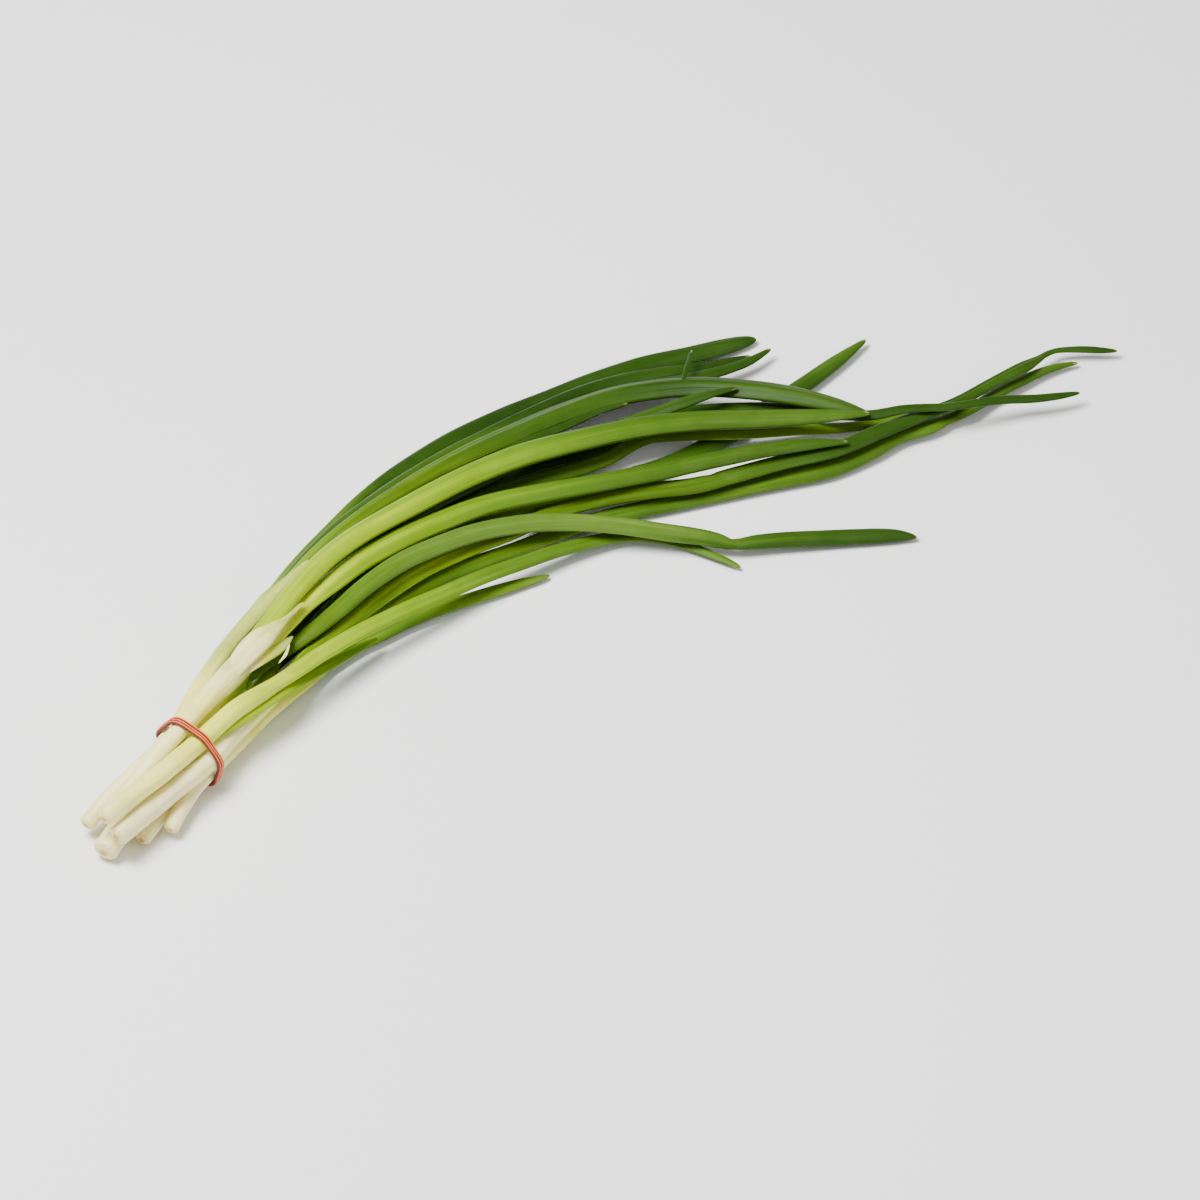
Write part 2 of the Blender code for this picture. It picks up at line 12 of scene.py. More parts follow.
import bmesh
import bpy
import numpy as np
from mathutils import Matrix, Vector

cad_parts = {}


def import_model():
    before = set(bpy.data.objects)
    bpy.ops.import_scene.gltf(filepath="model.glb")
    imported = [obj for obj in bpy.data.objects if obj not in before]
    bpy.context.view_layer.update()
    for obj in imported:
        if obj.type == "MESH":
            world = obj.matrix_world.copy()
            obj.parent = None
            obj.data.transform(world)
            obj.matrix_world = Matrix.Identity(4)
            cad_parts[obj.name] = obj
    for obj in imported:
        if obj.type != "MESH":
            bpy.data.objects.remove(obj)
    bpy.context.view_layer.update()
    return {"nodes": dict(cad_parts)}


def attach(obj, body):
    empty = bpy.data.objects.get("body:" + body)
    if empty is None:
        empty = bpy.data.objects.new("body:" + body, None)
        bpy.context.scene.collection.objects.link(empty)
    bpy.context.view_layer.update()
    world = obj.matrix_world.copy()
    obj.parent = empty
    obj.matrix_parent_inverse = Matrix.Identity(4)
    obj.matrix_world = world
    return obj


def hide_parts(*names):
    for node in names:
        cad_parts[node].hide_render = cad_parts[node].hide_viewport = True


LOG = logging.getLogger("spring_onions")

MM = 0.001
FULL_TURN = 2 * math.pi
Colour = tuple[float, float, float]
Row = tuple[float, float, float, float]
Span = tuple[float, float]
Socket = bpy.types.NodeSocket
Value = Socket | float | tuple[float, ...]


class Plant(Enum):
    """The seven plants, in the order in which their shanks lie on each other."""

    LOW = "low"
    RIGHT = "right"
    BROAD = "broad"
    STOUT = "stout"
    LEFT = "left"
    MIDDLE = "middle"
    FRONT = "front"


class Slot(Enum):
    """The record's material slots."""

    GREEN = "leaf_green"
    LIME = "leaf_lime"
    DARK = "leaf_dark"
    CORAL = "elastic_coral"


PLANT_SLOTS: dict[Plant, Slot] = dict.fromkeys(Plant, Slot.GREEN)
PLANT_SLOTS |= {Plant.MIDDLE: Slot.LIME, Plant.FRONT: Slot.LIME, Plant.LOW: Slot.DARK}


class Tone(Enum):
    """Named colours of shanks and leaves, as the share of each linear colour that the skin gives back; SHADE
    is painted shade.
    """

    IVORY = (0.89, 0.82, 0.37)
    BLUSH = (0.90, 0.79, 0.43)
    BUTTER = (0.87, 0.80, 0.20)
    STRAW = (0.69, 0.72, 0.055)
    PALE_LIME = (0.41, 0.51, 0.006)
    LIME = (0.265, 0.385, 0.001)
    YELLOW_GREEN = (0.175, 0.285, 0.001)
    SPRING = (0.116, 0.216, 0.006)
    GRASS = (0.070, 0.146, 0.007)
    FRESH = (0.050, 0.108, 0.007)
    SAGE = (0.092, 0.168, 0.020)
    MIST = (0.43, 0.50, 0.09)
    OLIVE = (0.062, 0.122, 0.001)
    BLADE = (0.034, 0.080, 0.005)
    DEEP = (0.019, 0.053, 0.003)
    # Painted shade: the darkest green, given to stretches of leaves that lie in shadow under other leaves.
    SHADE = (0.010, 0.032, 0.001)


class Blemish(Enum):
    """Named colours of scars, dry edges and the wax bloom with its painted sheen, as linear shares."""

    TAN = (0.68, 0.47, 0.18)
    BROWN = (0.42, 0.21, 0.06)
    DRY = (0.52, 0.46, 0.16)
    WAX = (0.15, 0.26, 0.08)


@dataclass(frozen=True)
class Dent:
    """A lengthwise hollow: its places round the section at both ends, its breadth (degrees) and depth."""

    start: float
    end: float
    breadth: float
    depth: float


@dataclass(frozen=True)
class Pinch:
    """A crease over a leaf, at a place counted across the drawing in mm.

    It bites into one side, given in degrees round the section, and flattens the leaf there. Its line runs
    askew, so that it lies further along on the near side.
    """

    across: float
    side: float
    bite: float
    flattens: float
    reach: float
    skew: float


@dataclass(frozen=True)
class Mouth:
    """The slanted mouth of a sheath: the side of its tip in degrees, and how much earlier it ends behind."""

    side: float
    slant: float


@dataclass(frozen=True)
class Ripple:
    """One wave of an uneven surface: its height, how often it runs, and which of the phases starts it."""

    height: float
    often: float
    phase: int


@dataclass(frozen=True)
class Tube:
    """A shank or a leaf.

    A row of its route is (across, up, height, width) in mm: two places on a plane that leans back at 45
    degrees, the height over the table, and the breadth there. Only from `lies_from` mm along it on does it
    lie on others, and its own plant's later tubes on it.
    """

    name: str
    rows: tuple[Row, ...]
    tones: tuple[Tone, ...]
    dents: tuple[Dent, ...] = ()
    flatness: float = 0.6
    lies_from: float = 45.0
    lens: float = 0.25
    dry: float = 0.45
    emerging: float = 0.72
    pinches: tuple[Pinch, ...] = ()

    @property
    def plant(self) -> Plant:
        """The plant that the name begins with."""
        return Plant(self.name.split("_")[0])


@dataclass(frozen=True)
class Shank(Tube):
    """A shank, which is nearly round, lies on nothing but its own heights and may melt into its leaf."""

    flatness: float = 0.94
    lies_from: float = 1000.0
    lens: float = 0.0
    mouth: Mouth = Mouth(90.0, 14.0)
    lip: float = 1.1
    melts: float = 0.0
    scar: float = 1.0


@dataclass(frozen=True)
class Sheath(Tube):
    """A pale sheath or a narrow inner leaf, whose tip isn't dry."""

    dry: float = 0.0


# The shanks in the order in which they lie on each other, the lowest first.
SHANKS: tuple[Shank, ...] = (
    Shank(
        "low_shank",
        ((-13.8, -18, 3.8, 6), (-5.4, -6.6, 4, 6), (3, 4.1, 4.3, 6), (10, 13.5, 4.1, 6), (18, 24, 3.8, 6.2),
         (26, 34, 3.6, 6.2), (33, 43, 3.5, 6)),
        (Tone.IVORY, Tone.IVORY, Tone.BUTTER, Tone.PALE_LIME, Tone.OLIVE),
        mouth=Mouth(90, 10),
        lip=6,
        scar=1.4,
    ),
    Shank(
        "right_shank",
        ((-4.4, -14.7, 5, 5.6), (-0.4, -7.4, 6.2, 5.6), (3.9, -0.6, 6.8, 5.7), (8, 3.9, 6.9, 5.7),
         (12.2, 8.4, 6.2, 6), (19.8, 16.3, 5.2, 6.2), (27.8, 24.6, 4.4, 6.2), (36.1, 31.8, 4, 6)),
        (Tone.IVORY, Tone.BLUSH, Tone.IVORY, Tone.BUTTER, Tone.STRAW, Tone.STRAW),
        mouth=Mouth(-20, 30),
    ),
    Shank(
        "broad_shank",
        ((-22, -17, 12.5, 7.6), (-13, -9.5, 12.8, 7.8), (-3.9, -2, 13, 7.6), (8.3, 8, 13.4, 7.2),
         (15, 15.5, 13.2, 6.8), (22, 22.5, 12.6, 6.6), (29, 29.5, 11.8, 6.4), (36, 36.5, 11, 6)),
        (Tone.BLUSH, Tone.BLUSH, Tone.BLUSH, Tone.IVORY, Tone.IVORY, Tone.STRAW, Tone.LIME),
        mouth=Mouth(0, 16),
    ),
    Shank(
        "stout_shank",
        ((-26.2, -22.3, 4.9, 9), (-19, -12, 6.8, 8.6), (-11.2, -2, 8.4, 8.4), (-1.4, 10.6, 10.8, 8.2),
         (5.5, 18.8, 11.2, 7.4), (13, 27, 10.8, 6.8), (21, 35, 10.2, 6.6), (29, 41.5, 10, 6.2)),
        (Tone.BLUSH, Tone.BLUSH, Tone.IVORY, Tone.BUTTER, Tone.STRAW, Tone.YELLOW_GREEN, Tone.OLIVE),
        mouth=Mouth(200, 14),
        lip=5,
    ),
    Shank(
        "left_shank",
        ((-32.3, -13.2, 6.5, 6), (-25.5, -5, 9.2, 6.1), (-16.6, 3.7, 12.6, 6.1), (-7.7, 12.6, 16.2, 5.9),
         (-1.4, 20.9, 17.2, 5.9), (4.2, 31, 16.1, 6.2), (13, 43.8, 12.5, 6.4), (22, 54.8, 10, 6.4),
         (31, 65.8, 8, 6.6), (37, 72.4, 7, 6.4)),
        (Tone.IVORY, Tone.IVORY, Tone.IVORY, Tone.BUTTER, Tone.BUTTER, Tone.MIST, Tone.MIST, Tone.MIST,
         Tone.SPRING),
        mouth=Mouth(20, 26),
    ),
    Shank(
        "middle_shank",
        ((-25, -8.8, 12.4, 5.8), (-13.3, 4.5, 17.6, 5.9), (-1.8, 17.8, 22.1, 6.3), (4.6, 25, 22, 7.2),
         (11, 31.8, 20.8, 8.4), (17, 38, 19.6, 9.2), (22, 43.5, 18.5, 8.6)),
        (Tone.IVORY, Tone.IVORY, Tone.IVORY, Tone.BUTTER, Tone.IVORY, Tone.MIST),
        mouth=Mouth(60, 8),
        lip=2,
    ),
    Shank(
        "front_shank",
        ((-26.1, -10.9, 18.8, 6.8), (-16.5, -3, 19.8, 7.1), (-6.9, 4.3, 20.5, 7.1), (4.4, 13.7, 19.4, 6.9),
         (11, 19.7, 20.4, 6.9), (18, 25.6, 20.8, 7), (28, 32, 20.2, 7.2), (38, 38.3, 19, 7.2)),
        (Tone.IVORY, Tone.BUTTER, Tone.BUTTER, Tone.STRAW, Tone.STRAW, Tone.PALE_LIME, Tone.PALE_LIME),
        mouth=Mouth(-90, 0),
        lip=1.5,
        melts=30,
    ),
)

# The leaves in the order in which they lie on each other, the lowest first.
LEAVES: tuple[Tube, ...] = (
    Tube(
        "low_crossing",
        ((24, 32, 3.6, 3.5), (36, 45, 3.5, 5), (52, 59, 3, 6), (68, 71, 3, 6.5), (90, 84, 3, 7),
         (115, 94, 3, 7.5), (135, 99.2, 3, 8), (150, 103.2, 3, 8), (160, 106.4, 3, 8), (171, 111.3, 3, 8),
         (180, 116.2, 3, 7.8), (195, 126.2, 3, 7.6), (207, 134, 3, 6.8), (218, 142, 3, 5.4),
         (227.3, 148.9, 3, 1.8)),
        (Tone.SHADE, Tone.SHADE, Tone.DEEP, Tone.SPRING, Tone.BLADE, Tone.BLADE, Tone.DEEP, Tone.FRESH),
        (Dent(70, 100, 26, 0.22),),
        lies_from=200,
    ),
    Tube(
        "low_straight",
        ((26, 36, 3.6, 3.5), (38, 52, 4, 5), (55, 68, 4, 6), (75, 83, 4.5, 6), (95, 94, 5, 6),
         (110, 99.4, 5, 6), (125, 103.6, 5, 6), (134, 106.2, 5, 5.8), (142, 109.5, 5, 5.8),
         (148, 113.2, 5, 5.8), (154, 115.8, 5, 5.9), (162, 116.8, 5, 6), (185, 117.5, 5, 6),
         (205, 118.6, 4, 5.4), (222, 119.5, 3, 4.6), (238, 122.2, 2.5, 4), (252, 124.6, 2, 3.2),
         (262, 125.6, 2, 1.6)),
        (Tone.OLIVE, Tone.DEEP, Tone.BLADE, Tone.GRASS, Tone.SPRING, Tone.SPRING, Tone.FRESH),
        (Dent(110, 80, 24, 0.25),),
    ),
    Tube(
        "low_short",
        ((75, 83, 4.5, 3.6), (88, 92.6, 4.8, 5), (103, 100.9, 5, 5.6), (120, 106.4, 5, 5.6),
         (135, 110.2, 5, 5.4), (148, 114.6, 5, 4.8), (158, 117.4, 5, 3.4), (165, 119, 5, 1.6)),
        (Tone.SHADE, Tone.SHADE, Tone.BLADE),
        (Dent(90, 90, 26, 0.2),),
        lies_from=1000,
    ),
    Tube(
        "right_front",
        ((21, 17.6, 5.1, 4.4), (28.5, 25.2, 4.6, 5.6), (36.5, 32.2, 4, 6.2), (44.2, 38.1, 3.5, 6.4),
         (56.5, 46, 3, 6.2), (64.8, 50, 2.8, 6.1), (73, 53.9, 2.6, 6), (85, 58.7, 2.6, 5.8),
         (97.5, 62.8, 2.6, 5.4), (106, 65.4, 2.4, 5), (112, 67.2, 2.2, 4.2), (117, 68.5, 2.1, 3),
         (121.3, 69.8, 2, 1.6)),
        (Tone.STRAW, Tone.PALE_LIME, Tone.SPRING, Tone.SPRING, Tone.GRASS, Tone.SPRING, Tone.SPRING,
         Tone.SAGE),
        (Dent(120, 95, 24, 0.22),),
    ),
    Tube(
        "broad_front",
        ((22, 22, 12.4, 4), (33, 32.5, 11, 5.4), (45, 44, 9.5, 6.4), (56, 53, 7.5, 7), (70, 61, 5.6, 7.2),
         (85, 69.3, 4.2, 7.2), (100, 75, 4, 6.8), (110, 78.6, 3.6, 6.4), (120, 82.2, 3.3, 6.4),
         (130, 86, 3, 6.8), (145, 90.3, 2.6, 7.2), (160, 93.5, 2.6, 7.6), (180, 98, 2.6, 8.2),
         (200, 102.5, 2.8, 8.8), (215, 105.9, 2.8, 9.4), (227, 111.2, 2.8, 9.4), (238, 117, 2.8, 8.2),
         (248, 119.6, 2.6, 6.8), (254, 121.7, 2.4, 5.2), (262, 125.5, 2.4, 4.9), (272, 131.2, 2.4, 4.6),
         (280, 135.2, 2.3, 4.4), (286, 138, 2.2, 3.9), (292, 139.9, 2.1, 3), (298.5, 141.1, 2, 1.5)),
        (Tone.STRAW, Tone.SPRING, Tone.OLIVE, Tone.GRASS, Tone.SPRING, Tone.FRESH, Tone.GRASS, Tone.FRESH,
         Tone.GRASS, Tone.BLADE, Tone.FRESH),
        (Dent(110, 70, 20, 0.28), Dent(40, 120, 18, 0.15)),
        pinches=(Pinch(254, 0, 0.25, 0.2, 2, 0.8),),
        lies_from=90,
    ),
    Tube(
        "broad_long",
        ((24, 25, 12.6, 4), (35, 37, 11.5, 5.2), (46, 47.5, 10.5, 6.6), (58, 57.3, 9, 7.4),
         (70, 66.2, 7.5, 7.6), (80, 72.2, 6.5, 7.4), (95, 78.9, 6, 7), (108, 83.8, 5, 6.6),
         (122, 90.4, 4, 6.6), (138, 95, 3, 7), (155, 98, 3, 7.4), (170, 99.8, 3, 7.4), (182, 103, 3, 7.2),
         (200, 107.8, 3, 6.8), (217, 111.8, 3, 6.8), (232, 118, 3, 6.4), (246, 123.3, 2.6, 5.6),
         (258, 128, 2.4, 4.8), (270, 134.4, 2.4, 5), (280, 139.5, 2.4, 5.4), (285.5, 142.5, 2.2, 3.3),
         (290, 144.9, 2, 2.5), (300, 145.6, 2, 3.2), (306, 145.3, 2, 2.9), (311.8, 145.1, 2, 1.5)),
        (Tone.PALE_LIME, Tone.OLIVE, Tone.YELLOW_GREEN, Tone.LIME, Tone.OLIVE, Tone.OLIVE, Tone.FRESH,
         Tone.DEEP, Tone.DEEP, Tone.BLADE, Tone.DEEP),
        (Dent(60, 110, 18, 0.3), Dent(130, 50, 16, 0.16)),
        pinches=(Pinch(180, 180, 0.2, 0.3, 2, 2.5), Pinch(286.5, 0, 0.25, 0.3, 1.8, 0.6)),
        lies_from=60,
    ),
    Tube(
        "stout_behind",
        ((14, 28, 11, 4), (26, 42, 8.6, 4.6), (40, 58, 7, 5.2), (58, 76, 6, 5.6), (80, 93, 6, 6),
         (105, 106.5, 6, 6), (130, 115.5, 5, 6), (155, 122, 4, 6), (175, 125, 3.5, 6), (195, 125.6, 3, 5.6),
         (212, 124, 3, 5.2), (228, 123.3, 2.6, 4.8), (240, 125.4, 2.4, 4), (256, 126.3, 2.2, 3.6),
         (270, 128.3, 2.2, 4), (284, 129, 2, 3.8), (292, 129.9, 2, 3.2), (298.9, 131, 2, 1.6)),
        (Tone.OLIVE, Tone.SHADE, Tone.DEEP, Tone.DEEP, Tone.DEEP, Tone.DEEP, Tone.DEEP, Tone.DEEP),
        (Dent(90, 90, 24, 0.22),),
    ),
    Tube(
        "left_top",
        ((22, 54.8, 10, 4.6), (31, 65.8, 8.6, 5.6), (40, 75.9, 7.4, 6.2), (50, 86.1, 6, 6.6),
         (60, 95.6, 5, 7), (72, 104.7, 4, 7.6), (88, 114.6, 3, 7.8), (105, 122.6, 2.8, 8),
         (122, 129.4, 2.8, 8), (138, 135.6, 2.8, 8), (153, 140.4, 2.8, 8), (168, 143.6, 2.8, 8),
         (181, 146.8, 2.6, 7), (187, 148.4, 2.4, 5), (190.6, 149.1, 2.2, 2.4)),
        (Tone.MIST, Tone.GRASS, Tone.OLIVE, Tone.DEEP, Tone.DEEP, Tone.SHADE, Tone.DEEP, Tone.DEEP,
         Tone.DEEP),
        (Dent(60, 85, 22, 0.2), Dent(120, 110, 14, 0.12)),
    ),
    Tube(
        "left_second",
        ((25, 58, 10, 4.6), (33, 66.9, 9.2, 5.4), (42, 76.8, 8.4, 5.6), (50, 84.8, 7.8, 5.6),
         (60, 92.8, 7.2, 5.6), (72, 101, 6, 5.8), (86, 109.4, 5, 6), (100, 116.4, 4, 6.2),
         (115, 123.6, 3, 6.4), (130, 130.2, 3, 6.4), (145, 134.9, 3, 6.2), (160, 137.6, 3, 5.8),
         (172, 139.6, 2.8, 4.6), (180, 141.4, 2.6, 3.2), (188.5, 143.4, 2.4, 1.6)),
        (Tone.MIST, Tone.BLADE, Tone.BLADE, Tone.BLADE, Tone.SHADE, Tone.DEEP, Tone.SHADE),
        (Dent(80, 100, 22, 0.24),),
    ),
    Tube(
        "left_curled",
        ((27, 60, 10, 4.4), (38, 71.8, 9.4, 4.6), (52, 84.8, 8.4, 4.8), (70, 97.8, 7, 5), (90, 109.4, 6, 5),
         (110, 119.2, 5, 5), (126, 125.8, 4, 5), (140, 130.2, 3, 5.2), (154, 133.2, 3, 5.2),
         (166, 135.2, 3, 5.2), (178, 138.1, 2.8, 4.8), (188, 141.6, 2.4, 3.8), (195.4, 145.8, 2, 1.6)),
        (Tone.PALE_LIME, Tone.SPRING, Tone.OLIVE, Tone.BLADE, Tone.DEEP, Tone.DEEP, Tone.DEEP),
        (Dent(85, 85, 26, 0.26),),
    ),
    Tube(
        "left_arched",
        ((26, 58, 10.5, 4.6), (36, 69, 10.5, 5.2), (45, 78.4, 10, 5.6), (54, 86, 9.5, 5.8),
         (65, 93.8, 9, 6.2), (80, 103, 8, 7.2), (95, 110.8, 7, 8), (110, 117.4, 6, 8.4),
         (125, 123.6, 5, 8.6), (140, 128.8, 4, 8.8), (155, 131.8, 4, 9), (170, 132.9, 4, 9),
         (185, 132.2, 4, 8.8), (200, 130.3, 3.4, 8.6), (212, 128, 3, 7.2), (221, 125.8, 2.8, 4.8),
         (228, 123.8, 2.4, 2)),
        (Tone.LIME, Tone.SPRING, Tone.OLIVE, Tone.OLIVE, Tone.BLADE, Tone.BLADE, Tone.DEEP, Tone.BLADE,
         Tone.BLADE),
        (Dent(60, 55, 18, 0.14), Dent(115, 120, 18, 0.14)),
    ),
    Tube(
        "left_shred",
        ((165.2, 133.4, 12.6, 2.4), (166.6, 138, 13.6, 2.4), (167.9, 142, 12.8, 2),
         (168.8, 145.4, 11.6, 1.1)),
        (Tone.DEEP, Tone.DEEP),
        lies_from=1000,
    ),
    Tube(
        "middle_thin",
        ((19, 41, 18.4, 3.2), (30, 55, 15, 3.4), (44, 69.5, 12, 3.6), (62, 84, 10, 3.8), (82, 97, 9, 3.8),
         (100, 107.6, 8, 3.8), (114, 114.5, 8, 3.6), (127, 119.9, 7, 3.4), (138, 124.8, 6, 3),
         (147.5, 127.3, 6, 1.5)),
        (Tone.LIME, Tone.YELLOW_GREEN, Tone.OLIVE, Tone.BLADE, Tone.DEEP, Tone.DEEP),
        (Dent(90, 90, 24, 0.2),),
    ),
    Tube(
        "middle_inner",
        ((19, 40, 18.4, 3.6), (31, 52.5, 14, 3.8), (48, 69, 12, 4.2), (70, 85.5, 10, 4.6),
         (95, 99.5, 9, 4.8), (120, 110.5, 8, 5), (140, 118, 7, 5.2), (155, 123.6, 6, 5.2),
         (167, 127.8, 6, 4.8), (176, 130.7, 6, 3.6), (184, 132.6, 6, 1.6)),
        (Tone.LIME, Tone.YELLOW_GREEN, Tone.DEEP, Tone.DEEP, Tone.BLADE, Tone.DEEP),
        (Dent(80, 100, 24, 0.24),),
    ),
    Tube(
        "middle_lower",
        ((14, 33.5, 20, 5), (20, 39.4, 18.8, 6.4), (26.5, 46, 17.4, 7), (33, 53, 16, 7.2),
         (40, 60.2, 14.6, 7.6), (50, 68.2, 12.5, 8.4), (60, 75.4, 10.5, 9), (72, 82, 9, 9.2),
         (86, 88.2, 7, 9), (102, 93.8, 5.5, 8.8), (120, 97.4, 4, 8.6), (140, 101, 3, 8.4),
         (160, 104.9, 3, 8), (180, 109.1, 3, 7.4), (197, 112.2, 3, 6.4), (210, 113.8, 2.6, 4.8),
         (221, 114.4, 2.2, 1.8)),
        (Tone.IVORY, Tone.STRAW, Tone.LIME, Tone.YELLOW_GREEN, Tone.SPRING, Tone.GRASS, Tone.FRESH,
         Tone.BLADE, Tone.BLADE),
        (Dent(110, 90, 20, 0.18), Dent(50, 60, 16, 0.1)),
    ),
    Tube(
        "middle_wide",
        ((13, 34, 20.2, 5), (18.5, 40.5, 19.4, 6.4), (24.5, 48.8, 18.4, 7.2), (31.5, 58, 17.4, 7.4),
         (38.5, 66.6, 16.4, 7.8), (46, 74.4, 15.4, 8.2), (56, 82.2, 14, 8.6), (68, 89.2, 12.5, 9),
         (82, 96.8, 11.5, 9.4), (98, 104.6, 10, 9.8), (115, 110.8, 9, 10), (132, 115.1, 7, 9.8),
         (150, 119, 5, 9.4), (170, 121.3, 4, 9), (190, 121.9, 3.4, 8.4), (207, 122.7, 3, 7),
         (219, 123.4, 2.6, 4.6), (228.5, 123.9, 2.2, 1.8)),
        (Tone.PALE_LIME, Tone.LIME, Tone.LIME, Tone.LIME, Tone.YELLOW_GREEN, Tone.SPRING, Tone.GRASS,
         Tone.FRESH, Tone.FRESH, Tone.FRESH),
        (Dent(115, 60, 17, 0.18), Dent(60, 110, 15, 0.12)),
    ),
    Tube(
        "front_leaf",
        ((26, 30.8, 20, 6.2), (36, 37.2, 19.2, 6.4), (46, 43.9, 18, 6.5), (60, 51.9, 15.7, 6.6),
         (72, 57.7, 14, 6.5), (86, 63.7, 11.8, 6.7), (100, 69.6, 9.6, 6.6), (112, 73.9, 7.9, 6.3),
         (122, 77.3, 6.6, 6.1), (132, 80.2, 5.2, 5.8), (142, 82.3, 4, 5.5), (150, 83, 3.4, 5.3),
         (158, 82.2, 3, 5), (166, 80.1, 2.8, 4.4), (174, 77.1, 2.5, 3.6), (181, 74.2, 2.2, 2.8),
         (185, 72.3, 2, 1.6)),
        (Tone.PALE_LIME, Tone.LIME, Tone.YELLOW_GREEN, Tone.SPRING, Tone.GRASS, Tone.GRASS, Tone.FRESH,
         Tone.GRASS),
        (Dent(100, 75, 20, 0.18), Dent(55, 120, 15, 0.1)),
        emerging=0.97,
    ),
    Tube(
        "stout_kinked",
        ((20, 34, 10.3, 4.6), (28, 40.6, 10.4, 5.2), (36.5, 46.5, 12.2, 5.6), (43.5, 52, 13.2, 6.2),
         (52, 59, 13, 7), (61, 66.8, 13.5, 7.6), (71, 73.6, 12.5, 8), (83, 79.2, 11.5, 8.2),
         (97, 84, 10.5, 8.4), (112, 86.8, 9, 8.4), (128, 87.4, 8, 8), (144, 86.3, 7, 7.8), (154, 85, 6, 7.8),
         (162, 83.8, 5, 7.8), (172, 82.4, 4, 7.3), (178, 81.3, 3.4, 6.8), (184, 80.2, 3, 5.7),
         (190, 80.8, 3, 6.6), (200, 81.6, 3, 7.1), (212, 82.1, 2.8, 7.2), (224, 82.6, 2.6, 7.1),
         (232, 83, 2.4, 6.6), (238, 83, 2.2, 5.2), (244, 82.4, 2, 1.8)),
        (Tone.OLIVE, Tone.OLIVE, Tone.GRASS, Tone.SAGE, Tone.SAGE, Tone.SAGE, Tone.SAGE, Tone.BLADE,
         Tone.DEEP, Tone.DEEP),
        (Dent(120, 70, 18, 0.2), Dent(70, 100, 15, 0.14)),
        pinches=(Pinch(183.3, 180, 0.7, 0.35, 1.9, 1.6),),
        lies_from=60,
    ),
)

# Pale sheaths and narrow inner leaves between the larger ones, at their own heights.
SHEATHS: tuple[Sheath, ...] = (
    Sheath(
        "middle_sheath",
        ((12, 32.6, 21.6, 7.6), (16.2, 37.8, 21.9, 9.2), (20.4, 43.2, 22.6, 10), (25, 48.2, 23.2, 9.2),
         (30, 52.8, 23.6, 6.4), (35.2, 57.2, 24, 3.2), (40, 60.9, 24.2, 0.9)),
        (Tone.IVORY, Tone.IVORY, Tone.IVORY, Tone.MIST, Tone.MIST),
        flatness=0.62,
    ),
    Sheath(
        "middle_skirt",
        ((18.5, 36.6, 19.6, 4.4), (24, 40.8, 19.6, 6.4), (28.2, 43.9, 19, 6.8), (31.6, 46.1, 18.4, 5.4),
         (34, 47.9, 18, 3), (36, 49.6, 17.8, 0.9)),
        (Tone.IVORY, Tone.IVORY, Tone.STRAW, Tone.MIST, Tone.MIST),
        flatness=0.5,
    ),
    Sheath(
        "middle_scrap",
        ((31.2, 40.4, 19.6, 0.9), (32.3, 41.6, 20, 1.7), (33.4, 43, 20.2, 1.6), (34.3, 45, 20, 1.2),
         (34.9, 47, 19.6, 0.6)),
        (Tone.IVORY, Tone.BLUSH, Tone.IVORY),
        flatness=0.3,
    ),
    Sheath(
        "right_sheath",
        ((20, 15.6, 5.6, 5.8), (27, 22.6, 5.1, 5.4), (34, 28.8, 4.7, 4.8), (41, 33.9, 4.4, 3.6),
         (49, 39.1, 4, 0.9)),
        (Tone.IVORY, Tone.BUTTER, Tone.STRAW, Tone.PALE_LIME),
        flatness=0.8,
    ),
    Sheath(
        "right_bright",
        ((5.5, 12.4, 18.4, 2.4), (10.2, 15.9, 18.9, 3.2), (16.3, 19.7, 18.4, 3.8), (24.3, 25.2, 17.8, 4.2),
         (32.4, 30.6, 16.9, 4.8), (40.6, 35.8, 13.5, 5.2), (49, 40.6, 10, 5), (58, 45.6, 7.2, 3.6),
         (64, 48.8, 5.8, 1.4)),
        (Tone.PALE_LIME, Tone.LIME, Tone.LIME, Tone.YELLOW_GREEN, Tone.SPRING, Tone.SPRING),
    ),
    Sheath(
        "stout_inner",
        ((31, 41.6, 11, 2.6), (35.5, 45.6, 12, 3.2), (39.5, 50.4, 12.8, 3.4), (43.8, 55.2, 13, 3.4),
         (48.5, 60, 12.6, 3.4), (53, 64.2, 12, 3.4), (58.5, 68.9, 11.4, 3.2), (66, 75, 10.6, 2.4),
         (72, 78.6, 10, 1)),
        (Tone.OLIVE, Tone.DEEP, Tone.BLADE, Tone.DEEP, Tone.DEEP),
    ),
    Sheath(
        "middle_between",
        ((28, 52, 16.6, 2.4), (33.5, 57.2, 16.2, 3.2), (40, 63.8, 15.2, 3.6), (46.5, 70.4, 14, 3.6),
         (54, 76.4, 12.6, 3.6), (63, 82, 11, 3.4), (72, 87.2, 10, 2.6), (80, 91.6, 9.2, 1.2)),
        (Tone.SPRING, Tone.GRASS, Tone.BLADE, Tone.DEEP, Tone.DEEP),
    ),
    Sheath(
        "left_sheath",
        ((12, 43.2, 12.9, 5.6), (18, 50.4, 12.6, 6.4), (24, 57.4, 13, 6.2), (30, 63.9, 14, 5),
         (35.5, 69.4, 15, 3.2), (41, 75, 15.8, 0.9)),
        (Tone.BUTTER, Tone.MIST, Tone.MIST, Tone.MIST, Tone.MIST),
    ),
)


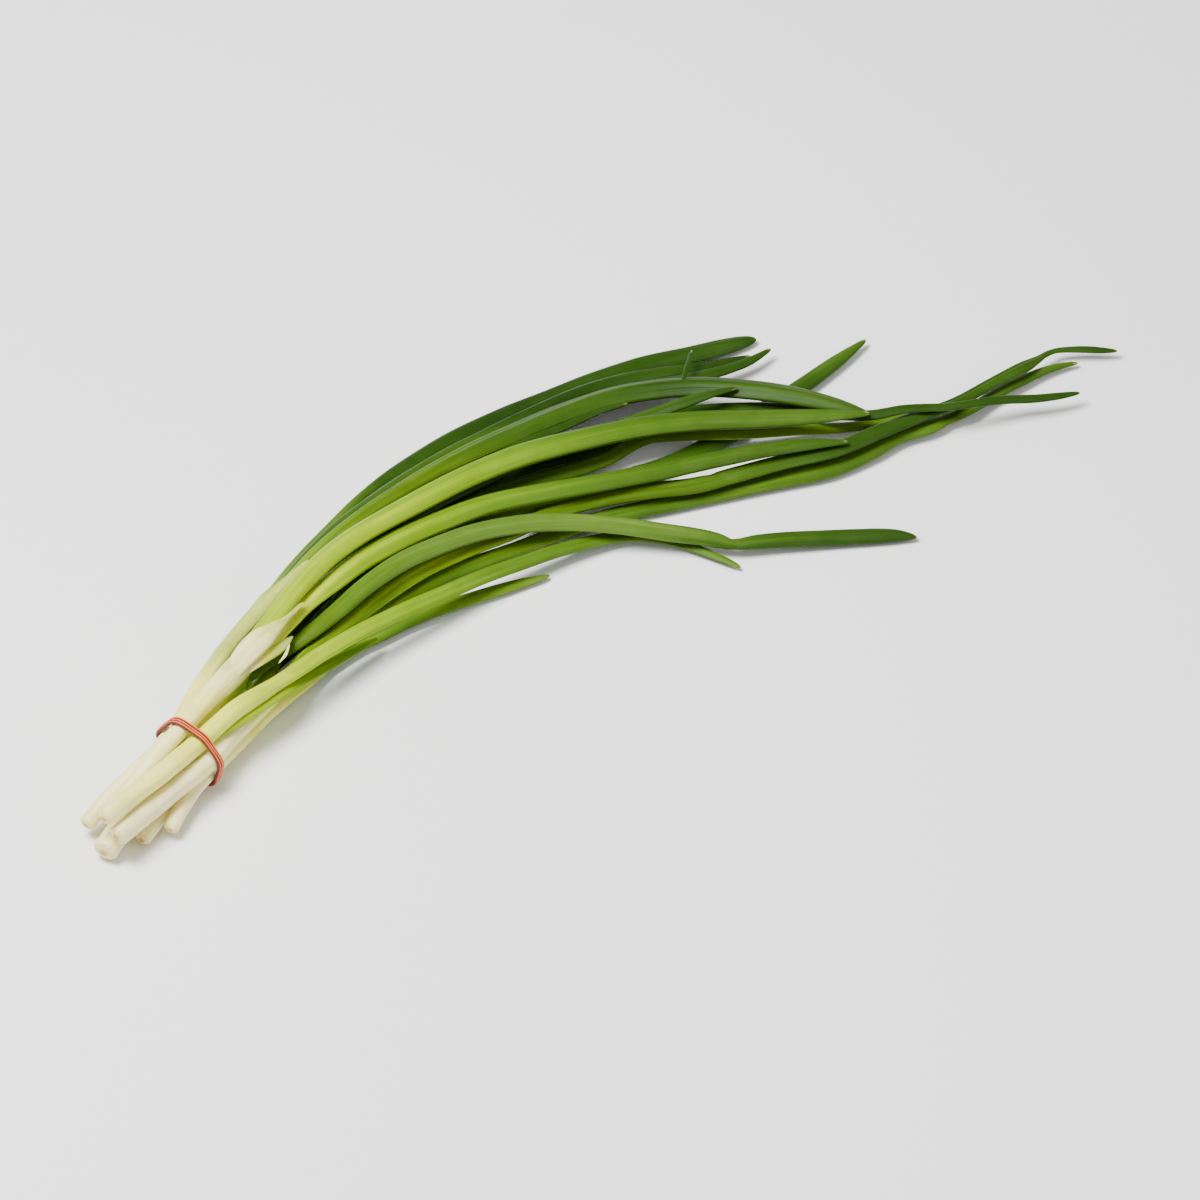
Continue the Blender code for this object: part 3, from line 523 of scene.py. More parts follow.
@dataclass(frozen=True)
class Table:
    """How a drawn place becomes a place on the table, with the bunch's length along +X."""

    tie_across: float = 3.0
    tie_up: float = 1.06
    slope: float = math.sqrt(2.0)
    turn: float = math.radians(-33.0)

    def place(self, rows: np.ndarray) -> np.ndarray:
        """Drawn rows as places in mm, before the bunch is turned.

        Args:
            rows: Rows of (across, up, height, width).

        Returns:
            The places: across the table, away over it, and up.
        """
        across = rows[:, 0] - self.tie_across
        away = self.slope * (rows[:, 1] - self.tie_up) - rows[:, 2]
        return np.column_stack([across, away, rows[:, 2]])

    def turned(self, points: np.ndarray) -> np.ndarray:
        """Places in metres in the part's own frame.

        Args:
            points: Places in mm before the turn.

        Returns:
            The same places, turned and in metres.
        """
        cosine, sine = math.cos(self.turn), math.sin(self.turn)
        x, y, z = np.moveaxis(np.asarray(points, float), -1, 0)
        return np.stack([cosine * x - sine * y, sine * x + cosine * y, z], axis=-1) * MM


@dataclass(frozen=True)
class LyingRule:
    """The part's rule: each leaf in turn is raised over those that lie below it, and over the table."""

    table: Table
    step: float = 3.0
    clearance: float = 0.5
    easing: int = 7
    fineness: int = 16

    def smooth_rows(self, rows: tuple[Row, ...]) -> np.ndarray:
        """Rows read a step apart from a smooth curve through the route's own rows.

        Args:
            rows: The route's rows.

        Returns:
            Evenly spaced rows.
        """
        rows = np.asarray(rows, float)
        rows = np.vstack([2 * rows[0] - rows[1], rows, 2 * rows[-1] - rows[-2]])
        gaps = np.sqrt(np.linalg.norm(np.diff(rows[:, :2], axis=0), axis=1))
        knots = np.concatenate([[0.0], np.cumsum(gaps)])
        fine = []
        for i in range(1, len(rows) - 2):
            for t in np.linspace(knots[i], knots[i + 1], self.fineness, endpoint=False):
                fine.append(self.curve_point(rows[i - 1 : i + 3], knots[i - 1 : i + 3], t))
        fine = np.asarray([*fine, rows[-2]])
        along = running_length(self.table.place(fine))
        places = np.linspace(0.0, along[-1], max(3, round(along[-1] / self.step)) + 1)
        return np.column_stack([np.interp(places, along, column) for column in fine.T])

    @staticmethod
    def curve_point(rows: np.ndarray, knots: np.ndarray, t: float) -> np.ndarray:
        """A point of the centripetal Catmull-Rom curve through four rows.

        Args:
            rows: Four rows.
            knots: Their knots.
            t: The place between the middle two knots.

        Returns:
            The row there.
        """
        level = list(rows)
        for depth in (1, 2, 3):
            joined = []
            for i in range(len(level) - 1):
                start, end = (knots[1], knots[2]) if depth == 3 else (knots[i], knots[i + depth])
                share = (t - start) / (end - start)
                joined.append((1.0 - share) * level[i] + share * level[i + 1])
            level = joined
        return level[0]

    def height_over(
        self, row: np.ndarray, flatness: float, others: np.ndarray, other_flatness: float
    ) -> float:
        """The least height at which an oval on the drawing's line clears the ovals of a tube below it.

        Args:
            row: The row of the tube that is laid.
            flatness: How flat that tube is.
            others: The rows of the tube below.
            other_flatness: How flat the tube below is.

        Returns:
            The height in mm, or less than nothing where they don't meet.
        """
        wide = (row[3] + others[:, 3]) / 2 + self.clearance
        thick = (row[3] * flatness + others[:, 3] * other_flatness) / 2 + self.clearance
        across = row[0] - others[:, 0]
        drawn = self.table.slope * (row[1] - others[:, 1])
        square = 1 / wide**2 + 1 / thick**2
        linear = 2 * drawn / wide**2
        rest = (across**2 + drawn**2) / wide**2 - 1
        inside = linear**2 - 4 * square * rest
        meets = inside > 0
        if not meets.any():
            return -1.0
        over = (linear[meets] + np.sqrt(inside[meets])) / (2 * square[meets])
        return float((others[meets, 2] + over).max())

    def eased(self, lift: np.ndarray) -> np.ndarray:
        """The greatest lift near each place, then the mean near each place.

        Args:
            lift: The lift of each row in mm.

        Returns:
            The eased lifts.
        """
        last = len(lift) - 1
        near = [range(max(0, i - self.easing), min(last, i + self.easing) + 1) for i in range(len(lift))]
        greatest = [max(lift[j] for j in places) for places in near]
        return np.array([sum(greatest[j] for j in places) / len(places) for places in near])

    def below(self, tube: Tube, other: Tube, rows: np.ndarray) -> np.ndarray:
        """The part of another tube that a tube lies on.

        Args:
            tube: The tube that is laid.
            other: A tube laid before it.
            rows: That other tube's rows.

        Returns:
            Its rows: none of a shank that is over this plant's own.
        """
        if other.plant is tube.plant:
            return rows[round(other.lies_from / self.step) :]
        plants = list(Plant)
        over = isinstance(other, Shank) and plants.index(other.plant) > plants.index(tube.plant)
        return rows[:0] if over else rows

    def laid(self, tubes: tuple[Tube, ...]) -> dict[str, np.ndarray]:
        """Every tube's rows at the height at which it lies.

        Args:
            tubes: The shanks and then the leaves, the lowest first.

        Returns:
            The rows by the tube's name.
        """
        done: list[tuple[Tube, np.ndarray]] = []
        for tube in tubes:
            rows = self.smooth_rows(tube.rows)
            parts = [(self.below(tube, other, placed), other.flatness) for other, placed in done]
            parts = [(part, flatness) for part, flatness in parts if len(part)]
            lift = np.zeros(len(rows))
            for i, row in enumerate(rows):
                needed = [row[3] * tube.flatness / 2]
                if i * self.step >= tube.lies_from:
                    needed += [self.height_over(row, tube.flatness, *part) for part in parts]
                lift[i] = max(0.0, max(needed) - row[2])
            rows[:, 2] += self.eased(lift)
            done.append((tube, rows))
        return {tube.name: rows for tube, rows in done}


def running_length(points: np.ndarray) -> np.ndarray:
    """The length of a line of points up to each of them."""
    return np.concatenate([[0.0], np.cumsum(np.linalg.norm(np.diff(points, axis=0), axis=1))])


def smoothstep(low: float, high: float, value: np.ndarray) -> np.ndarray:
    """Zero below low, one above high, and eased between them."""
    t = np.clip((value - low) / (high - low), 0.0, 1.0)
    return t * t * (3 - 2 * t)


@dataclass
class Skin:
    """The surface of one shank or leaf, as a function of the place along it and the angle round it.

    In its methods `along` is each corner's share of the length, from 0 at the root or base to 1 at the tip.
    `angle` is its angle round the section, counted from the right when looking towards the tip. `radial` says
    how far out in the section it is: 1 on the skin and less on a root plate.
    """

    tube: Tube
    rows: np.ndarray
    table: Table
    fullness: float = 0.985
    tip_length: float = 2.6
    base_length: float = 4.0
    emerges: Span = (4.0, 26.0)
    melt_narrows: float = 0.25
    melt_flattens: float = 0.50
    hollows_start: Span = (0.02, 0.16)
    hollows_end: Span = (1.0, 0.9)
    swell: float = 0.02
    swell_runs: Span = (7.0, 4.1)
    root_length: float = 1.7
    root_narrowing: float = 0.44
    root_unevenness: float = 1.22
    root_round: float = 2.8
    root_inset: float = 0.25
    plate_bulge: float = 0.45
    plate_form: Span = (0.15, 1.9)
    plate_scars: Span = (0.10, 0.07)
    lip_round: float = 0.35
    lip_least: float = 0.02
    mouth_round: float = 1.3
    mouth_most: float = 1.1
    melt_end: float = 3.0
    wax_least: float = 0.25
    wax_round: float = 3.0
    dry_reach: Span = (5.5, 0.8)
    rim_reach: Span = (2.6, 0.0)
    plate_reach: Span = (1.0, 0.70)
    plate_depth: Span = (0.02, 0.0)
    root_ragged: tuple[Ripple, ...] = (Ripple(0.125, 2, 4), Ripple(0.075, 5, 5), Ripple(0.05, 11, 6))
    mouth_ragged: tuple[Ripple, ...] = (Ripple(0.05, 3, 0), Ripple(0.03, 7, 1))
    hollow_wanders: tuple[Ripple, ...] = (Ripple(0.16, 5.1, 0), Ripple(0.07, 17, 2))
    hollow_varies: tuple[Ripple, ...] = (Ripple(0.25, 9, 4),)
    tone_uneven: tuple[Ripple, ...] = (Ripple(0.035, 3, 3), Ripple(0.02, 7, 5))

    def __post_init__(self) -> None:
        """Reads the middle line's length and the seed of this skin's small swellings."""
        self.places = self.table.place(self.rows)
        self.length = float(running_length(self.places)[-1])
        self.phases = np.random.default_rng(sum(map(ord, self.tube.name))).uniform(0, FULL_TURN, 8)

    def rippled(self, at: np.ndarray, ripples: tuple[Ripple, ...], shift: int = 0) -> np.ndarray:
        """The sum of some waves at some places, with their phases shifted on."""
        phases = [self.phases[wave.phase + shift] for wave in ripples]
        return sum(wave.height * np.sin(wave.often * at + phase) for wave, phase in zip(ripples, phases))

    def middle(self, along: np.ndarray) -> tuple[np.ndarray, np.ndarray]:
        """The middle line and the width at places along the tube.

        Args:
            along: Shares of the length.

        Returns:
            The places in mm, and the widths in mm.
        """
        table = np.column_stack([self.places, self.rows[:, 3]])
        at = np.clip(along, 0.0, 1.0) * (len(table) - 1)
        i = np.clip(at.astype(int), 0, len(table) - 2)
        t = (at - i)[:, None]
        last = len(table) - 1
        a, b, c, d = (table[np.clip(i + k, 0, last)] for k in (-1, 0, 1, 2))
        curve = b + 0.5 * t * (c - a + t * (2 * a - 5 * b + 4 * c - d + t * (3 * (b - c) + d - a)))
        return curve[:, :3], curve[:, 3]

    def taper(self, along: np.ndarray, angle: np.ndarray) -> np.ndarray:
        """How full the section is near both ends: a closed tip, and a ragged root end on a shank.

        Args:
            along: Shares of the length.
            angle: Angles round the section.

        Returns:
            Shares of the whole radius.
        """
        if isinstance(self.tube, Shank):
            start = np.clip(along * self.length / self.root_length, 0.0, 1.0)
            left = np.clip((1.0 - along) * self.length / self.tube.lip, 0.0, 1.0)
            narrowing = self.root_narrowing * (self.root_unevenness + self.rippled(angle, self.root_ragged))
            root = 1 - narrowing * (1 - start) ** self.root_round
            return root * np.maximum(left**self.lip_round, self.lip_least)
        left = np.clip((1.0 - along) * self.length / self.tip_length, 0.0, 1.0)
        end = np.sqrt(np.clip(1 - (1 - left) ** 2, 0.0, 1.0))
        start = np.sqrt(np.clip(along * self.length / self.base_length, 0.0, 1.0))
        out = self.tube.emerging
        return start * (out + (1 - out) * smoothstep(*self.emerges, along * self.length)) * end

    def dented(self, along: np.ndarray, angle: np.ndarray) -> np.ndarray:
        """How far the lengthwise hollows and small swellings draw each corner in.

        Args:
            along: Shares of the length.
            angle: Angles round the section.

        Returns:
            Shares of the whole radius.
        """
        factor = np.ones_like(angle)
        for k, dent in enumerate(self.tube.dents):
            middle = np.radians(dent.start + (dent.end - dent.start) * along)
            wander = self.rippled(along, self.hollow_wanders, k)
            apart = np.angle(np.exp(1j * (angle - middle - wander)))
            depth = dent.depth * smoothstep(*self.hollows_start, along) * smoothstep(*self.hollows_end, along)
            depth *= 0.75 + self.rippled(along, self.hollow_varies, k)
            factor -= depth * np.exp(-((apart / math.radians(dent.breadth)) ** 2))
        long, short = self.swell_runs
        waves = np.sin(self.length * along / long + 2 * angle + self.phases[6])
        waves += np.sin(self.length * along / short - angle + self.phases[7])
        return factor - self.swell * (1 + waves / 2)

    def reached(self, along: np.ndarray, angle: np.ndarray, radial: np.ndarray) -> np.ndarray:
        """The place on the middle line that a corner belongs to.

        A shank's sheath ends in a slanted mouth, and its root plate bulges with a hollow in the middle.

        Args:
            along: Shares of the length.
            angle: Angles round the section.
            radial: How far out in the section each corner is.

        Returns:
            Shares of the length, below 0 on the root plate.
        """
        if not isinstance(self.tube, Shank):
            return along
        mouth = self.tube.mouth
        behind = np.abs(np.sin((angle - math.radians(mouth.side)) / 2)) ** self.mouth_round
        ragged = np.clip(behind + self.rippled(angle, self.mouth_ragged), 0.0, self.mouth_most)
        slanted = along * (1 - mouth.slant / self.length * ragged * along**2)
        broad, fine = self.plate_scars
        scar = broad * np.sin(9 * radial + 4 * angle + self.phases[2])
        scar += fine * np.sin(17 * radial - 7 * angle)
        middle, rising = self.plate_form
        plate = self.plate_bulge * (1 - radial) * (middle + rising * radial) + scar * (1 - radial) * 2
        return slanted + (self.root_inset * (1 - along) - plate) / self.length

    def section(self, along: np.ndarray, angle: np.ndarray) -> tuple[np.ndarray, np.ndarray]:
        """The section's shape: flat, a little pointed, creased at a pinch, and melting into a leaf.

        Args:
            along: Shares of the length.
            angle: Angles round the section.

        Returns:
            How far each corner stands across and over the middle line, as shares of the radius.
        """
        across, over = np.cos(angle), np.sin(angle)
        over = over * self.tube.flatness * (1 - self.tube.lens * across**2)
        if isinstance(self.tube, Shank) and self.tube.melts:
            melted = smoothstep(self.tube.melts, self.melt_end, (1.0 - along) * self.length)
            across, over = across * (1 - self.melt_narrows * melted), over * (1 - self.melt_flattens * melted)
        for pinch in self.tube.pinches:
            crossing = np.interp(pinch.across, self.rows[:, 0], running_length(self.places))
            near = np.exp(-np.abs(along * self.length - crossing - pinch.skew * np.cos(angle)) / pinch.reach)
            facing = np.clip(np.cos(angle - math.radians(pinch.side)), 0.0, 1.0)
            across, over = across * (1 - pinch.bite * near * facing), over * (1 - pinch.flattens * near)
        return across, over

    def points(self, along: np.ndarray, angle: np.ndarray, radial: np.ndarray) -> np.ndarray:
        """Places on the skin in the part's frame.

        Args:
            along: Shares of the length.
            angle: Angles round the section.
            radial: How far out in the section each corner is.

        Returns:
            The places in metres.
        """
        place = self.reached(along, angle, radial)
        centre, width = self.middle(place)
        nearby = 0.002
        held = np.clip(place, 1.5 * nearby, 1 - 1.5 * nearby)
        ahead = self.middle(held + nearby)[0] - self.middle(held - nearby)[0]
        ahead /= np.linalg.norm(ahead, axis=1)[:, None]
        side = np.cross(ahead, (0.0, 0.0, 1.0))
        side /= np.linalg.norm(side, axis=1)[:, None]
        up = np.cross(side, ahead)
        across, over = self.section(along, angle)
        radius = width / 2 * self.fullness * self.dented(along, angle) * self.taper(along, angle) * radial
        offset = across[:, None] * side + over[:, None] * up
        beyond = np.minimum(place, 0.0)[:, None] * self.length
        return self.table.turned(centre + beyond * ahead + offset * radius[:, None])

    def straight(self, along: np.ndarray, angle: np.ndarray) -> np.ndarray:
        """Each corner's place in metres if the tube were pulled straight, for grain that follows it."""
        half = self.middle(along)[1] / 2 * MM
        return np.column_stack([half * np.cos(angle), half * np.sin(angle), along * self.length * MM])

    def tones(self, along: np.ndarray, angle: np.ndarray) -> np.ndarray:
        """The skin's own colour along it, a little uneven round it.

        Args:
            along: Shares of the length.
            angle: Angles round the section.

        Returns:
            Linear colours with a full alpha.
        """
        table = np.array([tone.value for tone in self.tube.tones])
        stations = np.linspace(0.0, 1.0, len(table))
        at = np.clip(along + self.rippled(angle, self.tone_uneven), 0.0, 1.0)
        colour = np.exp(np.column_stack([np.interp(at, stations, np.log(column)) for column in table.T]))
        return np.column_stack([colour, np.ones(len(along))])

    def dryness(self, along: np.ndarray) -> np.ndarray:
        """How dry the skin is: the last few millimetres of a leaf's tip, and nothing on a shank."""
        dry = 0.0 if isinstance(self.tube, Shank) else self.tube.dry
        return smoothstep(*self.dry_reach, (1.0 - along) * self.length) * dry

    def scars(self, along: np.ndarray, radial: np.ndarray) -> np.ndarray:
        """How scarred the skin is: a shank's root plate and the rim round it.

        Args:
            along: Shares of the length.
            radial: How far out in the section each corner is.

        Returns:
            A scar's strength at each corner, nothing on a leaf.
        """
        rim = smoothstep(*self.rim_reach, along * self.length)
        plate = smoothstep(*self.plate_reach, radial) * smoothstep(*self.plate_depth, along)
        scar = self.tube.scar if isinstance(self.tube, Shank) else 0.0
        return np.clip((rim + plate) / 2, 0.0, 1.0) * scar

    def waxiness(self, angle: np.ndarray) -> np.ndarray:
        """How much wax the skin shows: a real bloom, made strongest on the two edges of the section as a
        painted sheen.
        """
        return self.wax_least + (1 - self.wax_least) * np.abs(np.cos(angle)) ** self.wax_round


class Graph:
    """A short way to add nodes to a node tree and join them."""

    def __init__(self, tree: bpy.types.NodeTree) -> None:
        """Keeps the tree."""
        self.tree = tree

    def feed(self, node: bpy.types.Node, inputs: dict[str | int, Value]) -> None:
        """Sets a node's input sockets or joins them to other nodes.

        Args:
            node: The node.
            inputs: What goes into its sockets: a value, or another node's output socket.
        """
        for name, value in inputs.items():
            if isinstance(value, Socket):
                self.tree.links.new(value, node.inputs[name])
            else:
                node.inputs[name].default_value = value

    def node(
        self, kind: str, inputs: dict[str | int, Value] | None = None, **settings: str | bool
    ) -> bpy.types.Node:
        """Adds a node.

        Args:
            kind: The node's type name.
            inputs: What goes into its sockets: a value, or another node's output socket.
            settings: The node's own settings.

        Returns:
            The new node.
        """
        made = self.tree.nodes.new(kind)
        for name, value in settings.items():
            setattr(made, name, value)
        self.feed(made, inputs or {})
        return made

    def attribute(self, name: str, output: str = "Fac") -> Socket:
        """The output of a node that reads an attribute of the mesh."""
        return self.node("ShaderNodeAttribute", attribute_name=name).outputs[output]

    def math(self, operation: str, first: Value, second: Value) -> Socket:
        """A Math node's output."""
        return self.node("ShaderNodeMath", {0: first, 1: second}, operation=operation).outputs[0]

    def mix(self, share: Value, first: Value, second: Value, blend: str = "MIX") -> Socket:
        """A colour mix's output."""
        inputs = {0: share, 6: first, 7: second}
        return self.node("ShaderNodeMix", inputs, data_type="RGBA", blend_type=blend).outputs[2]

    def spread(self, value: Socket, edges: Span, out: Span = (0.0, 1.0)) -> Socket:
        """A Map Range node's output, eased at both ends.

        Args:
            value: What is spread.
            edges: The values that become the ends.
            out: The ends.

        Returns:
            The spread value.
        """
        sockets = ("From Min", "From Max", "To Min", "To Max")
        inputs = {"Value": value} | dict(zip(sockets, (*edges, *out)))
        return self.node("ShaderNodeMapRange", inputs, interpolation_type="SMOOTHSTEP").outputs[0]

    def noise(self, place: Socket, scale: Value, detail: float = 2.0) -> Socket:
        """A Noise node's value."""
        inputs = {"Vector": place, "Scale": scale, "Detail": detail}
        return self.node("ShaderNodeTexNoise", inputs).outputs["Fac"]

    def stretched(self, place: Socket, width: Value, run: Value) -> Socket:
        """A place scaled for noise of a certain form.

        Args:
            place: The place.
            width: How wide the noise is, in metres.
            run: How far it runs along, in metres.

        Returns:
            The scaled place.
        """
        fine, long = self.math("DIVIDE", 1.0, width), self.math("DIVIDE", 1.0, run)
        scale = self.node("ShaderNodeCombineXYZ", {"X": fine, "Y": fine, "Z": long}).outputs[0]
        return self.node("ShaderNodeMapping", {"Vector": place, "Scale": scale}).outputs[0]


def started(name: str) -> tuple[bpy.types.Material, Graph, bpy.types.Node]:
    """A new material on nodes.

    Args:
        name: Its name.

    Returns:
        The material, its graph and its Principled shader.
    """
    made = bpy.data.materials.new(name)
    made.use_nodes = True
    return made, Graph(made.node_tree), made.node_tree.nodes["Principled BSDF"]


def opaque(colour: Colour) -> tuple[float, float, float, float]:
    """A linear colour with a full alpha."""
    return (*colour, 1.0)


@dataclass(frozen=True)
class Grain:
    """How large the veins, streaks, blotches and specks of one material are, in metres."""

    vein_width: float = 0.00045
    vein_run: float = 0.022
    streak_width: float = 0.0021
    streak_run: float = 0.055
    blotch: float = 0.0077
    speck: float = 0.00038

    def inputs(self) -> dict[str, float]:
        """Each size under the name of the group's input that takes it."""
        names = [field.name for field in fields(self)]
        return {name.replace("_", " ").capitalize(): getattr(self, name) for name in names}

    def placed(self, graph: Graph) -> bpy.types.NodeOutputs:
        """The outputs of the shared group, placed in a material with this grain's own sizes."""
        return graph.node("ShaderNodeGroup", self.inputs(), node_tree=grain_group()).outputs


def grain_group() -> bpy.types.NodeTree:
    """The lengthwise veins and streaks, soft blotches and fine specks that all the finishes share.

    Returns:
        The one node group, built when it is first asked for. Its outputs are values around a half.
    """
    kept = bpy.data.node_groups.get("grain")
    if kept:
        return kept
    tree = bpy.data.node_groups.new("grain", "ShaderNodeTree")
    for name, value in Grain().inputs().items():
        tree.interface.new_socket(name, in_out="INPUT", socket_type="NodeSocketFloat").default_value = value
    for name in ("Veins", "Streaks", "Blotches", "Specks"):
        tree.interface.new_socket(name, in_out="OUTPUT", socket_type="NodeSocketFloat")
    graph = Graph(tree)
    size = graph.node("NodeGroupInput").outputs
    straight = graph.attribute("straight", "Vector")
    place = graph.node("ShaderNodeTexCoord").outputs["Object"]
    outputs = {
        "Veins": graph.noise(graph.stretched(straight, size["Vein width"], size["Vein run"]), 1.0),
        "Streaks": graph.noise(graph.stretched(straight, size["Streak width"], size["Streak run"]), 1.0, 3.0),
        "Blotches": graph.noise(place, graph.math("DIVIDE", 1.0, size["Blotch"]), 3.0),
        "Specks": graph.noise(place, graph.math("DIVIDE", 1.0, size["Speck"])),
    }
    graph.node("NodeGroupOutput", outputs)
    return tree


@dataclass(frozen=True)
class Glow:
    """How much light passes through a finish, how far each colour of it goes, how deep, and how it shines."""

    weight: float = 0.05
    reach: Colour = (0.8, 1.0, 0.3)
    depth: float = 0.0012
    shine: float = 0.11

    def inputs(self) -> dict[str, Value]:
        """The shader's inputs for it."""
        names = ("Subsurface Weight", "Subsurface Radius", "Subsurface Scale", "Specular IOR Level")
        return dict(zip(names, (self.weight, self.reach, self.depth, self.shine)))


@dataclass(frozen=True)
class GreenFinish:
    """The waxy, veined skin of leaves and shanks, which takes its colour from the tone of each place."""

    name: str
    roughness: float = 0.38
    gloss_varies: Span = (-0.05, 0.12)
    gloss_edges: Span = (0.2, 0.8)
    darker: Colour = (0.66, 0.74, 0.50)
    lighter: Colour = (1.36, 1.22, 1.30)
    vein_contrast: float = 0.35
    vein_edges: Span = (0.40, 0.62)
    vein_height: float = 0.00008
    streak_contrast: float = 0.5
    streak_edges: Span = (0.36, 0.66)
    swelling: float = 0.0004
    blotch_contrast: float = 0.35
    blotch_edges: Span = (0.42, 0.72)
    bloom: float = 0.04
    bloom_sheen_edges: Span = (0.60, 0.34)
    dry_edges: Span = (0.42, 0.80)
    dry_ragged: float = 0.9
    scar_edges: Span = (0.25, 0.75)
    scar_most: float = 0.75
    crust_edges: Span = (0.80, 1.25)
    crust_most: float = 0.7
    glow: Glow = Glow()
    grain: Grain = Grain()

    def colour(self, graph: Graph, grain: bpy.types.NodeOutputs) -> Socket:
        """Lays streaks, blotches, veins, wax with a painted sheen on the edges, dryness and scars over the
        tone, one after the other.

        Args:
            graph: The material's graph.
            grain: The outputs of the shared group.

        Returns:
            The colour.
        """
        tone = graph.attribute("tone", "Color")
        darker = graph.mix(1.0, tone, opaque(self.darker), "MULTIPLY")
        lighter = graph.mix(1.0, tone, opaque(self.lighter), "MULTIPLY")
        streaked = graph.mix(graph.spread(grain["Streaks"], self.streak_edges), darker, lighter)
        colour = graph.mix(self.streak_contrast, tone, streaked)
        blotch = graph.spread(grain["Blotches"], self.blotch_edges)
        colour = graph.mix(graph.math("MULTIPLY", blotch, self.blotch_contrast), colour, darker)
        vein = graph.spread(grain["Veins"], self.vein_edges)
        colour = graph.mix(graph.math("MULTIPLY", vein, self.vein_contrast), colour, darker)
        # The wax bloom is mixed in most on the section's edges, where it is a painted sheen as well as real
        # wax.
        wax_sheen = graph.spread(grain["Blotches"], self.bloom_sheen_edges)
        wax_sheen = graph.math("MULTIPLY", graph.math("MULTIPLY", wax_sheen, graph.attribute("side")), self.bloom)
        colour = graph.mix(wax_sheen, colour, opaque(Blemish.WAX.value))
        ragged = graph.math("MULTIPLY", graph.math("SUBTRACT", grain["Veins"], 0.5), self.dry_ragged)
        dry = graph.spread(graph.math("ADD", graph.attribute("dry"), ragged), self.dry_edges)
        colour = graph.mix(dry, colour, opaque(Blemish.DRY.value))
        crust = graph.math("ADD", graph.attribute("scar"), graph.math("SUBTRACT", grain["Specks"], 0.5))
        tan = graph.spread(crust, self.scar_edges, (0.0, self.scar_most))
        brown = graph.spread(crust, self.crust_edges, (0.0, self.crust_most))
        colour = graph.mix(tan, colour, opaque(Blemish.TAN.value))
        return graph.mix(brown, colour, opaque(Blemish.BROWN.value))

    def material(self) -> bpy.types.Material:
        """Builds the material once, and gives it again when asked again.

        Returns:
            The material.
        """
        kept = bpy.data.materials.get(self.name)
        if kept:
            return kept
        made, graph, shader = started(self.name)
        grain = self.grain.placed(graph)
        gloss = (self.roughness + self.gloss_varies[0], self.roughness + self.gloss_varies[1])
        fine = {"Height": grain["Veins"], "Distance": self.vein_height, "Strength": 0.8}
        broad = {"Height": grain["Streaks"], "Distance": self.swelling, "Strength": 0.7}
        broad["Normal"] = graph.node("ShaderNodeBump", fine).outputs[0]
        looks = {
            "Base Color": self.colour(graph, grain),
            "Roughness": graph.spread(grain["Streaks"], self.gloss_edges, gloss),
            "Normal": graph.node("ShaderNodeBump", broad).outputs[0],
        }
        graph.feed(shader, looks | self.glow.inputs())
        return made


@dataclass(frozen=True)
class ElasticFinish:
    """Coral rubber, with a painted highlight along the crown of each strand and painted shade where two
    strands meet and on their undersides.
    """

    name: str = "coral_rubber"
    crown: Colour = (0.82, 0.23, 0.048)
    flank: Colour = (0.46, 0.045, 0.014)
    groove: Colour = (0.11, 0.008, 0.005)
    dust: Colour = (0.95, 0.62, 0.42)
    wavers: float = 0.5
    highlight_edges: Span = (0.10, 0.56)
    groove_edges: Span = (0.60, 0.92)
    dust_edges: Span = (0.60, 0.72)
    dustiness: float = 0.2
    roughness: float = 0.45
    gloss_varies: Span = (-0.06, 0.14)
    gloss_edges: Span = (0.3, 0.7)
    mark_depth: float = 0.00006
    glow: Glow = Glow(0.08, (1.0, 0.35, 0.2), 0.0006, 0.35)
    grain: Grain = Grain(vein_width=0.00033, vein_run=0.0071, speck=0.00026)

    def material(self) -> bpy.types.Material:
        """Builds the material.

        Returns:
            The material.
        """
        made, graph, shader = started(self.name)
        grain = self.grain.placed(graph)
        marks = graph.math("MULTIPLY", graph.math("SUBTRACT", grain["Veins"], 0.5), self.wavers)
        edge = graph.math("ADD", graph.attribute("edge"), marks)
        # Painted light: the crown takes a painted highlight, and the grooves and undersides a painted shade.
        colour = graph.mix(graph.spread(edge, self.highlight_edges), opaque(self.crown), opaque(self.flank))
        colour = graph.mix(graph.spread(edge, self.groove_edges), colour, opaque(self.groove))
        dusty = graph.math("MULTIPLY", graph.spread(grain["Specks"], self.dust_edges), self.dustiness)
        bump = {"Height": grain["Veins"], "Distance": self.mark_depth, "Strength": 0.7}
        gloss = (self.roughness + self.gloss_varies[0], self.roughness + self.gloss_varies[1])
        looks = {
            "Base Color": graph.mix(dusty, colour, opaque(self.dust)),
            "Roughness": graph.spread(grain["Specks"], self.gloss_edges, gloss),
            "Normal": graph.node("ShaderNodeBump", bump).outputs[0],
        }
        graph.feed(shader, looks | self.glow.inputs())
        return made


@dataclass(frozen=True)
class TableFinish:
    """A plain pale tabletop with the faintest unevenness."""

    name: str = "pale_table"
    colour: Colour = (0.90, 0.90, 0.89)
    darker: float = 0.99
    cloud_scale: float = 3.0
    cloud_edges: Span = (0.3, 0.7)
    roughness: float = 0.85
    shine: float = 0.2

    def material(self) -> bpy.types.Material:
        """Builds the material.

        Returns:
            The material.
        """
        made, graph, shader = started(self.name)
        place = graph.node("ShaderNodeTexCoord").outputs["Object"]
        clouds = graph.spread(graph.noise(place, self.cloud_scale), self.cloud_edges)
        darker = tuple(part * self.darker for part in self.colour)
        colour = graph.mix(clouds, opaque(self.colour), opaque(darker))
        looks = {"Base Color": colour, "Roughness": self.roughness, "Specular IOR Level": self.shine}
        graph.feed(shader, looks)
        return made


